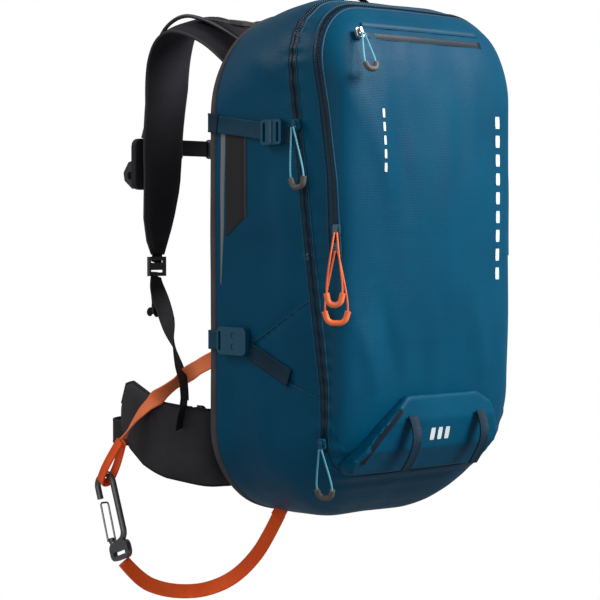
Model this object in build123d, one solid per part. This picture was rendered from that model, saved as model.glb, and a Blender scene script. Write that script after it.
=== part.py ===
from build123d import *
from math import radians, tan, cos, sin
import os

# Avalanche airbag backpack for ski touring.
# Frame: millimetres, +Z up, the wearer's back on +Y, the pack's outer front on -Y.
# Origin: the middle of the back panel's contact face, on the plane y = 0.

# Bag body, as sections along its depth:
# (y, half width, bottom z, top z, bottom corner radius, top corner radius)
BAG_SECTIONS = [
    (-15, 150, -292, 282, 100, 114),
    (-24, 156, -299, 288, 108, 120),
    (-110, 156, -299, 298, 108, 96),
    (-145, 156, -284, 294, 90, 84),
    (-175, 154, -257, 285, 70, 74),
    (-200, 147, -228, 268, 55, 62),
    (-217, 134, -190, 236, 45, 55),
    (-226, 110, -140, 188, 40, 50),
    (-230, 74, -90, 118, 30, 40),
]
SIDE_X = 156            # flat side of the bag
FABRIC = 2.5            # wall of the bag
FLAP_GAP = 1.0          # clearance between the bag's opening panels
FOLD_Z = 4              # height where the front flap folds out

# Line of the main zip on the bag's side (y, z), from the base to above the top
MAIN_ZIP = [(-186, -262), (-192, -222), (-200, -180), (-200, -140), (-195, -88), (-168, 130), (-143, 320)]
# Line of the front flap's zip (y, z), from its fold to above the top
FLAP_ZIP = [(-211, FOLD_Z), (-208, 90), (-200, 170), (-188, 240), (-170, 320)]

BACK_Y = -15            # back wall of the bag
WEBBING = 20            # width of the narrow webbing
WEB_THICK = 1.8         # webbing thickness
STRAP_THICK = 11        # shoulder strap padding
BELT_THICK = 13.6       # hip belt padding

CABLE_X = 84            # the release cable's lane along the shoulder strap
LIFTER_X = 70           # load lifter's distance from the middle
STRAP_X = 72            # middle of the shoulder strap at the shoulder
STRAP_SLOPE = 0.3       # rise of the shoulder strap towards its inner edge
STERNUM_Z = 138         # height of the chest strap
BELT_Z = -212           # height of the hip belt's middle

CORD = 2.0              # zip pull cord diameter
PULL_GRIP = 6.4         # zip pull grip diameter
CYLINDER_R = 24         # gas cylinder radius
CYLINDER_LEN = 210
CABLE = 5.0             # release cable diameter
HANDLE_X = 96           # release handle, on the wearer's left
HANDLE_Z = 104


def section_face(y, half, bottom, top, r_low, r_high):
    """One upright slice of the bag, a rounded tombstone at depth y."""
    plane = Plane(origin=(0, y, 0), x_dir=(1, 0, 0), z_dir=(0, -1, 0))
    k = 1 - cos(radians(45))
    with BuildSketch(plane) as slice_sketch:
        with BuildLine():
            Line((half, bottom + r_low), (half, top - r_high))
            ThreePointArc((half, top - r_high), (half - k * r_high, top - k * r_high), (half - r_high, top))
            Line((half - r_high, top), (r_high - half, top))
            ThreePointArc((r_high - half, top), (k * r_high - half, top - k * r_high), (-half, top - r_high))
            Line((-half, top - r_high), (-half, bottom + r_low))
            ThreePointArc((-half, bottom + r_low), (k * r_low - half, bottom + k * r_low), (r_low - half, bottom))
            Line((r_low - half, bottom), (half - r_low, bottom))
            ThreePointArc((half - r_low, bottom), (half - k * r_low, bottom + k * r_low), (half, bottom + r_low))
        make_face()
    return slice_sketch.sketch


def bag_solid(inset=0.0):
    """The bag's full volume, drawn in from its outside by inset."""
    faces = []
    for y, half, bottom, top, r_low, r_high in BAG_SECTIONS:
        shift = -inset if y >= BACK_Y else 0
        if y < -140:
            shift = inset
        faces.append(
            section_face(y + shift, half - inset, bottom + inset, top - inset, r_low - inset, r_high - inset)
        )
    return loft(faces, ruled=True)


def side_prism(points, half_width=220):
    """A side-view outline of (y, z) points, run across the pack."""
    with BuildPart() as prism:
        with BuildSketch(Plane.YZ):
            Polygon(*points, align=None)
        extrude(amount=half_width, both=True)
    return prism.part


def ahead_of(line, shift=0.0):
    """Everything on the front side of a zip line, moved along y by shift."""
    moved = [(y + shift, z) for y, z in line]
    far = [(-400, line[-1][1]), (-400, line[0][1])]
    return side_prism(moved + far)


def flap_region(grow=0.0):
    """The space of the front flap: ahead of its zip and above its fold."""
    line = [(y + grow, z) for y, z in FLAP_ZIP]
    line[0] = (FLAP_ZIP[0][0] + grow, FOLD_Z - grow)
    return side_prism(line + [(-400, FLAP_ZIP[-1][1]), (-400, FOLD_Z - grow)])


def block(center, size, radius=0.0):
    """A box with its upright edges rounded."""
    solid = Box(*size)
    if radius > 0:
        solid = fillet(solid.edges().filter_by(Axis.Z), radius)
    return Pos(*center) * solid


def rod(start, end, radius):
    """A round bar between two points."""
    a = Vector(*start)
    b = Vector(*end)
    plane = Plane(origin=a, z_dir=b - a)
    return extrude(plane * Circle(radius), amount=(b - a).length)


def route_radii(points):
    """Arc radius for each inner corner: 0.45 of the shorter run over tan(half the turn)."""
    spots = [Vector(*p) for p in points]
    radii = []
    for before, corner, after in zip(spots, spots[1:], spots[2:]):
        turn = (corner - before).get_angle(after - corner)
        run = min((corner - before).length, (after - corner).length)
        radii.append(0.45 * run / tan(radians(turn) / 2))
    return radii


def tube(points, diameter, name="", limp=3):
    """A round cord along straight runs joined by tangent arcs."""
    radii = route_radii(points)
    path = FilletPolyline(*points, radius=radii)
    start = Plane(origin=path @ 0, z_dir=path % 0)
    solid = sweep(start * Circle(diameter / 2), path=path)
    if name:
        section = 3.14159265 * diameter**2 / 4
        print(name, "length", round(path.length, 1), "volume ratio", round(solid.volume / section / path.length, 3))
        print("   radii in diameters", [round(r / diameter, 1) for r in radii], "least wanted", limp)
    return solid


def flat_band(points, across, width, thick, name=""):
    """A flat strap whose width lies along across, and whose route is at right angles to it."""
    radii = route_radii(points) if len(points) > 2 else []
    path = FilletPolyline(*points, radius=radii) if radii else Line(*points)
    start = Plane(origin=path @ 0, x_dir=Vector(*across), z_dir=path % 0)
    solid = sweep(start * Rectangle(width, thick), path=path)
    if name:
        print(name, "length", round(path.length, 1), "volume ratio", round(solid.volume / width / thick / path.length, 3))
        print("   radii", [round(r, 1) for r in radii])
    return solid


def mirrored(solid):
    """The same piece on the other side of the pack."""
    return mirror(solid, about=Plane.YZ)


def pair(solid):
    """A piece and its mirror image in one node."""
    return Compound([*solid.solids(), *mirrored(solid).solids()])


# ---------------------------------------------------------------- bag


def bag_shell():
    return bag_solid(0) - bag_solid(FABRIC)


def rear_bag_shell(shell):
    """Back wall, sides, base and top of the main compartment."""
    bag = shell - ahead_of(MAIN_ZIP, FLAP_GAP / 2)
    return bag - cable_gland()


def main_flap_shell(shell):
    """Ring and lower front, which open from the main zip."""
    ring = shell & ahead_of(MAIN_ZIP, -FLAP_GAP / 2)
    return ring - flap_region(FLAP_GAP)


def divider():
    """Fabric wall between the main and the safety compartment."""
    sheet = ahead_of(MAIN_ZIP, -6) - ahead_of(MAIN_ZIP, -8)
    return sheet & bag_solid(FABRIC + 0.05)


def front_flap_shell(shell):
    """Upper front of the pack, which folds out over the safety compartment."""
    return shell & flap_region(0)


def zip_band(line, behind, ahead, z_low, z_high=400):
    """A zip's tape and teeth, proud of the bag beside a zip line."""
    proud = bag_solid(-1.4) - bag_solid(0)
    strip = ahead_of(line, behind) - ahead_of(line, ahead)
    window = Pos(0, -150, (z_low + z_high) / 2) * Box(400, 300, z_high - z_low)
    return proud & strip & window


def edge_binding():
    """Bound edge that frames the back panel."""
    proud = bag_solid(-2.0) - bag_solid(0)
    return proud & Pos(0, -24.2, 0) * Box(400, 17.5, 700)


def side_mesh():
    """Elastic mesh pocket beside the back edge, with the pale strip that borders it."""
    plate = side_prism([(-34, 148), (-78, 140), (-78, 47), (-42, 26), (-34, -30)], 0.6)
    return Pos(-SIDE_X - 0.6, 0, 0) * plate


def back_sheet():
    """Stiff plastic sheet inside the back wall."""
    sheet = block((0, BACK_Y - FABRIC - 3.2, 0), (236, 1.6, 520))
    sheet = fillet(sheet.edges().filter_by(Axis.Y), 50)
    return sheet - cable_gland()


def frame_stays():
    """Two flat aluminium bars on the sheet."""
    bar = block((-70, BACK_Y - FABRIC - 5.6, -10), (15, 3, 440))
    return pair(bar)


def back_pad():
    """Moulded foam back panel; its flat face is the contact face."""
    depth = -BACK_Y - 0.3
    pad = block((0, -depth / 2, 52), (216, depth, 290))
    return fillet(pad.edges().filter_by(Axis.Y), 34)


def lumbar_pad():
    """Thicker pad at the small of the back."""
    pad = block((0, -7.4, -182), (150, 14.6, 150))
    return fillet(pad.edges().filter_by(Axis.Y), 26)


# ---------------------------------------------------------------- airbag system


def airbag_folded():
    """The folded airbag, in an arch under the top of the pack."""
    outline = [(-108, 190), (-108, 235), (-72, 272), (72, 272), (108, 235), (108, 190), (78, 190), (78, 214),
               (52, 234), (-52, 234), (-78, 214), (-78, 190)]
    with BuildPart() as roll:
        with BuildSketch(Plane(origin=(0, -76, 0), x_dir=(1, 0, 0), z_dir=(0, -1, 0))) as arch:
            Polygon(*outline, align=None)
            fillet(arch.vertices(), 9)
        extrude(amount=48)
    return fillet(roll.part.edges().group_by(Axis.Y)[0], 8)


def gas_cylinder():
    """Refillable cylinder with its neck, upright beside the frame."""
    x, y, low = -60, -62, -150
    body = rod((x, y, low), (x, y, low + CYLINDER_LEN), CYLINDER_R)
    body = fillet(body.edges(), 14)
    neck = rod((x, y, low + CYLINDER_LEN - 4), (x, y, low + CYLINDER_LEN + 18), 9)
    return body + neck


def inflator_unit():
    """Valve head and air intake that fill the airbag."""
    x, y, low = -60, -62, -150 + CYLINDER_LEN + 18
    head = block((x, y, low + 16), (46, 40, 30), 8)
    intake = rod((x, y, low + 31), (x, y, low + 96), 21)
    ring = rod((x, y, low + 52), (x, y, low + 60), 22.5)
    return head + intake + ring


CABLE_ROUTE = [(-CABLE_X, -64, 112), (-CABLE_X, -50, 130), (-CABLE_X, -43, 165), (-CABLE_X, -41, 200),
               (-CABLE_X, -32, 230), (-CABLE_X, -8, 248), (-CABLE_X, 18, 262), (-CABLE_X, 46, 276),
               (-CABLE_X, 84, 291), (-CABLE_X, 124, 299), (-CABLE_X, 163, 282), (-CABLE_X, 181, 240),
               (-CABLE_X, 184.5, 200), (-88, 185.5, 172), (-HANDLE_X, 185, 149)]


def release_cable():
    """Bowden cable from the valve, through the back wall and along the left strap to the handle."""
    return tube(CABLE_ROUTE, CABLE, "release cable", 5)


def cable_gland():
    """Clearance that the cable needs through the back wall."""
    return tube(CABLE_ROUTE, CABLE + 2.4)


# ---------------------------------------------------------------- shoulder harness


def strap_side_band():
    """Padded strap in side view: up from the back, over the shoulder and down the chest.

    It is run across at a slant, because its inner edge stands higher than its outer one.
    """
    spots = [(-7.2, 210), (6, 233), (48, 264), (84, 280), (122, 289), (152, 276), (168, 240), (173.5, 180),
             (172.5, 120), (153.5, 0)]
    with BuildPart() as band:
        with BuildSketch(Plane.YZ.offset(-STRAP_X)):
            with BuildLine():
                spine = FilletPolyline(*spots, radius=route_radii(spots))
                offset(spine, amount=STRAP_THICK / 2, side=Side.BOTH)
            make_face()
        extrude(amount=60, dir=(1, 0, STRAP_SLOPE), both=True)
    return band.part


def strap_front_outline():
    """Front view of the left strap, an S that clears the neck and the chest."""
    with BuildPart() as outline:
        with BuildSketch(Plane(origin=(0, 300, 0), x_dir=(1, 0, 0), z_dir=(0, -1, 0))):
            with BuildLine():
                Spline((-107, 330), (-105, 250), (-101, 200), (-105, 110), (-113, 50), (-112, 18), (-107, 4))
                Spline((-38, 330), (-36, 250), (-36, 200), (-46, 125), (-54, 85), (-70, 44), (-90, 4))
                Line((-107, 330), (-38, 330))
                Line((-107, 4), (-90, 4))
            make_face()
        extrude(amount=500)
    return outline.part


def shoulder_strap():
    return strap_side_band() & strap_front_outline()


def load_lifter():
    """Webbing from the top of the strap to the top of the pack."""
    return flat_band([(-LIFTER_X, 104, 295.4), (-LIFTER_X, 28, 278.3), (-LIFTER_X, -13, 269)], (1, 0, 0),
                     WEBBING, WEB_THICK)


def lifter_buckle():
    """Ladder lock on the load lifter."""
    frame = block((0, 0, 0), (27, 26, 4.5), 3)
    slots = block((0, 7, 0), (21.5, 3.2, 6)) + block((0, -7, 0), (21.5, 3.2, 6))
    lock = frame - slots
    return Pos(-LIFTER_X, 24, 281.6) * Rot(11.5, 0, 0) * lock


def adjuster_strap():
    """Webbing from the lower end of the padding to the top of the hip belt."""
    top = Vector(-103, 151, 0)
    run = Vector(-57, -124, 0).normalized()
    side = [(0, -24.5), (56, -66), (126, -132), (136, -168)]
    points = [tuple(top + run * s + Vector(0, 0, z)) for s, z in side]
    return flat_band(points, (run.Y, -run.X, 0), WEBBING, WEB_THICK, "adjuster strap")


def adjuster_buckle():
    """Ladder lock sewn to the lower end of the padding."""
    frame = block((0, 0, 0), (28, 5, 24), 1.5)
    slots = block((0, 0, 6), (21.5, 8, 3)) + block((0, 0, -6), (21.5, 8, 3))
    return Pos(-102, 151, -11.2) * (frame - slots)


STERNUM_Y = 190         # middle of the chest buckle's depth
BUCKLE_X = 34           # the chest buckle sits towards the wearer's right


def sternum_webbing():
    """Left half runs into the socket; the right half lies along the prongs."""
    left = flat_band([(-52, 185, STERNUM_Z), (BUCKLE_X - 20.3, STERNUM_Y, STERNUM_Z)], (0, 0, 1), WEBBING, WEB_THICK)
    right = flat_band([(97, 185, STERNUM_Z), (BUCKLE_X + 14, 184.8, STERNUM_Z)], (0, 0, 1), WEBBING, WEB_THICK)
    return left, right


def sternum_clip(x):
    """Slider on the front of a strap's padding, which holds the chest webbing."""
    clip = block((x, 185.4, STERNUM_Z), (16, 9, 26), 2)
    return clip - block((x, 185.9, STERNUM_Z), (22, 4.6, 21.0))


def side_release_female(height, length, depth):
    """Socket half of a side-release buckle, open on its +X end."""
    body = Box(length, depth, height)
    body = fillet(body.edges().filter_by(Axis.Y), height * 0.22)
    mouth = Pos(length * 0.28, 0, 0) * Box(length, depth - 3.2, height - 5)
    window = Pos(length * 0.1, 0, height / 2) * Box(length * 0.42, depth + 2, 5)
    window2 = Pos(length * 0.1, 0, -height / 2) * Box(length * 0.42, depth + 2, 5)
    slot = Pos(-length * 0.36, 0, 0) * Box(3.4, depth + 2, height - 6)
    return body - mouth - window - window2 - slot


def side_release_male(height, length, depth):
    """Prong half of a side-release buckle, pointing to -X."""
    base = Pos(length * 0.3, 0, 0) * fillet(Box(length * 0.4, depth, height).edges().filter_by(Axis.Y), height * 0.16)
    slot = Pos(length * 0.38, 0, 0) * Box(3.4, depth + 2, height - 6)
    base = base - slot
    prong = Pos(-length * 0.18, 0, height * 0.26) * Box(length * 0.6, depth - 4.6, height * 0.14)
    guide = Pos(-length * 0.14, 0, 0) * Box(length * 0.5, depth - 5.2, height * 0.1)
    return base + prong + mirror(prong, about=Plane.XY) + guide


# ---------------------------------------------------------------- hip belt


def hip_belt():
    """Padded wing that wraps the hip."""
    with BuildPart() as wing:
        with BuildSketch(Plane.XY):
            with BuildLine():
                spine = FilletPolyline((-82, 7.3), (-138, 14), (-170, 66), (-170, 142), radius=[34, 80])
                offset(spine, amount=BELT_THICK / 2, side=Side.BOTH)
            make_face()
        extrude(amount=400, both=True)
    outline = side_prism([(-10, -182), (24, -178), (58, -172), (90, -158), (112, -149), (124, -152), (132, -176),
                          (132, -206), (118, -228), (92, -246), (56, -259), (10, -269), (-10, -272)])
    return wing.part & outline


BUCKLE_Y = 188.2        # middle of the hip buckle's depth


def hip_webbing_left():
    """Left belt webbing from the wing's tip to the buckle's socket."""
    points = [(-170, 133, BELT_Z), (-164, 164, BELT_Z), (-140, 181, BELT_Z), (-98, 188, BELT_Z),
              (-34.3, BUCKLE_Y, BELT_Z)]
    return flat_band(points, (0, 0, 1), 30, 2.0)


def hip_webbing_right():
    """Right belt webbing; its end lies along the prong half, which slides on it."""
    lane = BUCKLE_Y - 6.3
    points = [(170, 133, BELT_Z), (164, 161, BELT_Z), (140, 177, BELT_Z), (98, lane - 0.1, BELT_Z),
              (26, lane, BELT_Z)]
    return flat_band(points, (0, 0, 1), 30, 2.0)


# ---------------------------------------------------------------- compression straps


def upper_compression_strap():
    """Webbing across the side, from the back edge to the ladder lock."""
    x = -SIDE_X - 3.6
    return flat_band([(x, -20, 157), (x, -109, 145)], (0, -0.13, 0.99), WEBBING, WEB_THICK)


def upper_compression_anchor():
    """Webbing end sewn to the side beyond the lock."""
    x = -SIDE_X - 1.0
    return flat_band([(x, -145.5, 141), (x, -157, 139)], (0, 0, 1), WEBBING, WEB_THICK)


def compression_lock():
    """Moulded ladder lock that tilts to let the webbing slip."""
    x, y, z = -SIDE_X - 6.0, -128, 143
    plate = block((x, y, z), (5.0, 34, 28))
    plate = fillet(plate.edges().filter_by(Axis.X), 4)
    slot = block((x, y + 11, z), (8, 4, 21.5))
    slot2 = block((x, y - 11, z), (8, 4, 21.5))
    rib = rod((x - 2.0, y, z - 12.5), (x - 2.0, y, z + 12.5), 3.0)
    return (plate + rib) - slot - slot2


def lower_compression_strap():
    x = -SIDE_X - 1.0
    return flat_band([(x, -88, -104), (x, -152, -131)], (0, -0.388, 0.922), WEBBING, WEB_THICK)


def lower_side_buckle():
    """Side-release buckle low on the side."""
    x = -SIDE_X - 5.7
    plate = fillet(Box(6.8, 50, 32).edges().filter_by(Axis.X), 7)
    plate = plate - Pos(0, 20, 0) * Box(9, 4, 21.5)
    dimple = Pos(-3.4, -4, 6.5) * Rot(0, 90, 0) * Cylinder(4, 1.4)
    dimple2 = Pos(-3.4, -4, -6.5) * Rot(0, 90, 0) * Cylinder(4, 1.4)
    return Pos(x, -61, -93) * (plate - dimple - dimple2)


# ---------------------------------------------------------------- loops


def haul_loop():
    """Webbing grab handle at the top of the back panel."""
    y = -8.6
    half = [(-56, y, 257), (-56, y, 268), (-46, y, 281), (-28, y, 286)]
    points = half + [(-a, b, c) for a, b, c in reversed(half)]
    return flat_band(points, (0, 1, 0), 12, 3)


def helmet_loop():
    """Small loop for the helmet net, sewn to the top."""
    points = [(-26, -92, 298.8), (-20, -92, 306), (0, -92, 309), (20, -92, 306), (26, -92, 298.8)]
    return flat_band(points, (0, 1, 0), 10, 1.6)


def axe_loop(x, lean):
    """Webbing loop on the pocket for an ice-axe head, free between its two sewn ends."""
    points = [(x, -238.6, -174), (x - lean * 0.3, -247.5, -190), (x - lean * 0.6, -243, -216), (x - lean, -227, -236)]
    return flat_band(points, (1, 0, 0), 14, 2.2)


def front_pocket():
    """Flat tool pocket sewn low on the front."""
    outline = [(-52, -152), (64, -152), (86, -164), (104, -204), (90, -239), (-118, -239), (-126, -226), (-90, -184)]
    with BuildPart() as pocket:
        with BuildSketch(Plane(origin=(0, -236, 0), x_dir=(1, 0, 0), z_dir=(0, -1, 0))) as face:
            Polygon(*outline, align=None)
            fillet(face.vertices(), 9)
        extrude(amount=-140)
    skin = pocket.part - bag_solid(0)
    slab = side_prism([(-180, -150), (-234, -150), (-236, -180), (-228, -212), (-209, -239), (-180, -239)])
    return skin & ahead_of(MAIN_ZIP, -2.5) & slab


# ---------------------------------------------------------------- leg strap and carabiner

HOOK_X = -191                       # plane of the carabiner
HOOK_TOP = Vector(HOOK_X, 144, -262.5)  # middle of its top bar
HOOK_DOWN = Vector(0, -0.343, -0.939)   # along its spine
HOOK_OUT = Vector(0, 0.939, -0.343)     # towards its gate
HOOK_BAR = 7.6
GATE_WIRE = 2.4


def hook_point(out, down, aside=0.0):
    """A point in the carabiner's own frame, from the middle of its top bar."""
    return tuple(HOOK_TOP + HOOK_OUT * out + HOOK_DOWN * down + Vector(aside, 0, 0))


def hook_plane(out, down):
    return Plane(origin=hook_point(out, down), x_dir=HOOK_OUT, z_dir=Vector(1, 0, 0))


def carabiner_body():
    """Forged aluminium hook with a webbing slot at its foot."""
    corners = [(16, 26), (16, 3), (-15, -3), (-15, 80), (12, 88), (12, 76)]
    path = FilletPolyline(*[hook_point(*c) for c in corners], radius=[12, 13, 12, 7])
    start = Plane(origin=path @ 0, z_dir=path % 0)
    bar = sweep(start * Circle(HOOK_BAR / 2), path=path)
    foot = hook_plane(-1, 94) * fillet(Box(36, 22, 6.4).edges().filter_by(Axis.Z), 8)
    slot = hook_plane(-1, 97) * Box(23, 5, 12)
    pivot = rod(hook_point(12, 79, -9), hook_point(12, 79, 9), GATE_WIRE / 2 + 0.05)
    return bar + foot - slot - pivot


def carabiner_gate():
    """Sprung wire gate, closing against the inside of the nose."""
    reach = HOOK_BAR / 2 + GATE_WIRE / 2 + 0.6
    points = [hook_point(12, 80, reach), hook_point(10.4, 32, reach), hook_point(10.4, 32, -reach),
              hook_point(12, 80, -reach)]
    path = FilletPolyline(*points, radius=2.6)
    start = Plane(origin=path @ 0, z_dir=path % 0)
    wire = sweep(start * Circle(GATE_WIRE / 2), path=path)
    pin = rod(hook_point(12, 79, -reach), hook_point(12, 79, reach), GATE_WIRE / 2)
    return wire + pin


def leg_strap_upper():
    """Webbing of the crotch strap, from the back edge behind the adjuster, down the hip wing to the loop."""
    points = [(-118, -11, -108), (-131, 14, -119), (-141, 46, -138), (-170, 52, -157), (-182, 64, -170),
              (-189, 88, -192), (-191, 106, -216)]
    path = FilletPolyline(*points, radius=route_radii(points))
    start = Plane(origin=path @ 0, x_dir=(0.1, -0.1, 1), z_dir=path % 0)
    solid = sweep(start * Rectangle(WEBBING, 2.2), path=path)
    print("leg strap upper length", round(path.length, 1), "radii", [round(r) for r in route_radii(points)])
    return solid


def leg_loop():
    """Sewn webbing loop that hangs from the leg strap and carries the carabiner."""
    top = Vector(HOOK_X, 111, -222.5)
    foot = HOOK_TOP + HOOK_OUT * 2 + HOOK_DOWN * 9
    drop = (foot - top).normalized()
    reach = (foot - top).length
    side = [(-2.6, -5), (-8.5, reach * 0.45), (-8.5, reach - 6), (-5, reach + 1), (5, reach + 1), (8.5, reach - 6),
            (8.5, reach * 0.45), (2.6, -5)]
    points = [tuple(top + drop * v + Vector(a, 0, 0)) for a, v in side]
    across = drop.cross(Vector(1, 0, 0))
    return flat_band(points, tuple(across), 12, 2.0, "leg loop")


def leg_strap_lower():
    """Free webbing that hangs from the carabiner's slot under the pack to its base."""
    start = Vector(HOOK_X, 107, 0)
    run = Vector(129, -143, 0).normalized()
    side = [(1, -363), (21, -386), (46, -396), (73, -399), (102, -396), (134, -382), (161, -355), (178, -326),
            (189, -303.2)]
    points = [tuple(start + run * s + Vector(0, 0, z)) for s, z in side]
    path = FilletPolyline(*points, radius=route_radii(points))
    flat = (path % 0).cross(Vector(run.Y, -run.X, 0)).normalized()
    across = flat * cos(radians(50)) + Vector(run.Y, -run.X, 0) * sin(radians(50))
    begin = Plane(origin=path @ 0, x_dir=across, z_dir=path % 0)
    solid = sweep(begin * Rectangle(WEBBING, 2.2), path=path)
    print("leg strap lower length", round(path.length, 1), "radii", [round(r) for r in route_radii(points)])
    return solid


# ---------------------------------------------------------------- release handle

def handle_sleeve():
    """Stiff fabric sleeve on the strap that parks the release handle."""
    sleeve = block((-HANDLE_X, 184.6, HANDLE_Z + 12), (32, 9.6, 64))
    sleeve = fillet(sleeve.edges().filter_by(Axis.Y), 9)
    return sleeve - block((-HANDLE_X, 186.2, HANDLE_Z), (24, 9.6, 36))


def release_handle():
    """Moulded pull handle; a short stem sits in the sleeve."""
    stem = block((-HANDLE_X, 187, HANDLE_Z), (20, 9.4, 32))
    with BuildPart() as fin:
        with BuildSketch(Plane.YZ) as profile:
            Polygon((191, HANDLE_Z - 16), (198, HANDLE_Z - 19), (214, HANDLE_Z - 8), (216, HANDLE_Z + 2),
                    (206, HANDLE_Z + 15), (191, HANDLE_Z + 18), align=None)
            fillet(profile.vertices(), 3)
        extrude(amount=7, both=True)
    finger = Pos(0, 203, HANDLE_Z - 2) * Rot(0, 90, 0) * Cylinder(5, 20)
    return stem + Pos(-HANDLE_X, 0, 0) * (fin.part - finger)


# ---------------------------------------------------------------- zip sliders and pulls


def zip_slider(origin, outward, up):
    """Metal slider with its bridge, sitting on the zip teeth."""
    frame = Plane(origin=origin, x_dir=up, z_dir=outward)
    body = Pos(0, 0, 4.2) * fillet(Box(12, 9, 4).edges().filter_by(Axis.Z), 2)
    bridge = Pos(0, 0, 8.2) * Box(9, 3, 4.6)
    eye = Pos(-1, 0, 8.0) * Rot(90, 0, 0) * Cylinder(1.7, 5)
    return frame * (body + bridge - eye)


def pull_points(origin, outward, up, length, half, over):
    """Route of a pull cord: down from the slider's eye, round through the grip and back up.

    over is how far the lower part stands out, where the pull hangs over another one.
    """
    plane = Plane(origin=origin, x_dir=up, z_dir=outward)
    lift = 11.6
    one_side = [(-3.0, 1.4, 0), (-length * 0.26, half * 0.42, over * 0.8), (-length * 0.54, half * 0.8, over),
                (-length * 0.8, half * 1.04, over), (-length * 0.97, half * 0.7, over)]
    local = one_side + [(a, -b, c) for a, b, c in reversed(one_side)]
    return [tuple(plane.from_local_coords(Vector(a, b, lift + c))) for a, b, c in local]


def pull_cord(points, name):
    return tube(points, CORD, name, 3)


def pull_grip(points):
    """Moulded grip round the lower bend of the cord."""
    ends = points[3:7]
    spots = [Vector(*p) for p in ends]
    route = [spots[0] + (spots[1] - spots[0]) * 0.1, spots[1], spots[2], spots[3] + (spots[2] - spots[3]) * 0.1]
    route = [tuple(p) for p in route]
    outer = tube(route, PULL_GRIP)
    bore = tube(points, CORD + 0.6)
    return outer - bore


def seat(start, direction):
    """Where a line from outside first meets the bag, and the bag's outward normal there."""
    hits = bag_solid(0).find_intersection_points(Axis(start, direction))
    nearest = min(hits, key=lambda hit: (hit[0] - Vector(*start)).length)
    normal = nearest[1].normalized()
    if normal.dot(Vector(*direction)) > 0:
        normal = normal * -1
    return nearest[0], normal


# name: (line towards the bag, its direction, up along the zip, pull length, half width of the grip, stand-out)
PULLS = {
    "main_upper": ((-400, -166, 150), (1, 0, 0), (0, 0.135, 0.991), 72, 10, 0),
    "main_lower": ((-400, -192.5, -200), (1, 0, 0), (0, 0, 1), 64, 9, 0),
    "safety_left": ((-400, -210.4, 14), (1, 0, 0), (0, 0, 1), 84, 13, 0),
    "safety_right": ((-400, -209.8, 34), (1, 0, 0), (0, 0, 1), 84, 9, 8.5),
    "top_pocket": ((-108, -400, 248), (0, 1, 0), (0, 0, 1), 50, 7, 0),
}


def pull_set(name):
    """One slider with its cord and grip, square to the bag where it sits."""
    start, direction, up, length, half, over = PULLS[name]
    origin, outward = seat(start, direction)
    rise = Vector(*up)
    rise = (rise - outward * rise.dot(outward)).normalized()
    origin = origin + outward * 1.6
    for word, vector in (("seat", origin), ("outward", outward), ("up", rise)):
        print(name, word, [round(v, 3) for v in vector])
    points = pull_points(origin, outward, rise, length, half, over)
    print("   route", [tuple(round(v, 1) for v in p) for p in points])
    return zip_slider(origin, outward, rise), pull_cord(points, name + " cord"), pull_grip(points)


def write(name, *solids):
    """Save one piece, or one group of like pieces, under its node's name."""
    found = [body for solid in solids for body in solid.solids()]
    for body in found:
        if not body.is_valid:
            print("INVALID", name)
    export_step(Compound(found) if len(found) > 1 else found[0], f"parts/{name}.step")


def main():
    os.makedirs("parts", exist_ok=True)
    shell = bag_shell()
    write("rear_bag_shell", rear_bag_shell(shell))
    write("main_flap_shell", main_flap_shell(shell))
    write("divider", divider())
    write("front_flap_shell", front_flap_shell(shell))
    write("main_zip_chain", zip_band(MAIN_ZIP, 6.5, 0.8, -212))
    write("flap_zip_chain", zip_band(FLAP_ZIP, 6.5, 1.6, FOLD_Z + 2) & ahead_of(MAIN_ZIP, -1.5))
    write("edge_binding", edge_binding())
    write("side_mesh_pockets", side_mesh(), mirrored(side_mesh()))
    write("back_sheet", back_sheet())
    write("frame_stays", frame_stays())
    write("back_pad", back_pad())
    write("lumbar_pad", lumbar_pad())
    write("airbag_folded", airbag_folded())
    write("gas_cylinder", gas_cylinder())
    write("inflator_unit", inflator_unit())
    write("release_cable", release_cable())
    write("shoulder_strap_left", shoulder_strap())
    write("shoulder_strap_right", mirrored(shoulder_strap()))
    write("load_lifters", pair(load_lifter()))
    write("strap_buckles", pair(lifter_buckle()), pair(adjuster_buckle()))
    write("adjuster_straps", pair(adjuster_strap()))
    write("hip_belt_left", hip_belt())
    write("hip_belt_right", mirrored(hip_belt()))
    write("hip_webbing", hip_webbing_left(), hip_webbing_right())
    buckle_spot = Pos(0, BUCKLE_Y, BELT_Z)
    write("hip_buckle_socket", buckle_spot * Pos(-14, 0, 0) * side_release_female(40, 40, 11))
    write("hip_buckle_prongs", buckle_spot * Pos(16, 0, 0) * side_release_male(38, 52, 10))
    write("sternum_strap", *sternum_webbing())
    write("sternum_clips", sternum_clip(-42), sternum_clip(87))
    chest = Pos(BUCKLE_X, STERNUM_Y, STERNUM_Z)
    write("sternum_socket", chest * Pos(-8, 0, 0) * side_release_female(25, 24, 9))
    write("sternum_prongs", chest * Pos(9, 0, 0) * side_release_male(24, 32, 8))
    write("compression_straps", pair(upper_compression_strap()), pair(upper_compression_anchor()),
          pair(lower_compression_strap()))
    write("compression_lock_left", compression_lock())
    write("compression_lock_right", mirrored(compression_lock()))
    write("lower_side_buckles", pair(lower_side_buckle()))
    write("haul_loop", haul_loop())
    write("helmet_loop", helmet_loop())
    write("front_pocket", front_pocket())
    write("axe_loops", axe_loop(-50, 0), axe_loop(62, 0))
    write("leg_strap_upper", leg_strap_upper())
    write("leg_loop", leg_loop())
    write("carabiner_body", carabiner_body())
    write("carabiner_gate", carabiner_gate())
    write("leg_strap_lower", leg_strap_lower())
    write("handle_sleeve", handle_sleeve())
    write("release_handle", release_handle())
    for name in PULLS:
        slider, cord, grip = pull_set(name)
        write(name + "_slider", slider)
        write(name + "_cord", cord)
        write(name + "_grip", grip)


main()
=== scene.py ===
import bpy
import math

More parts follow.
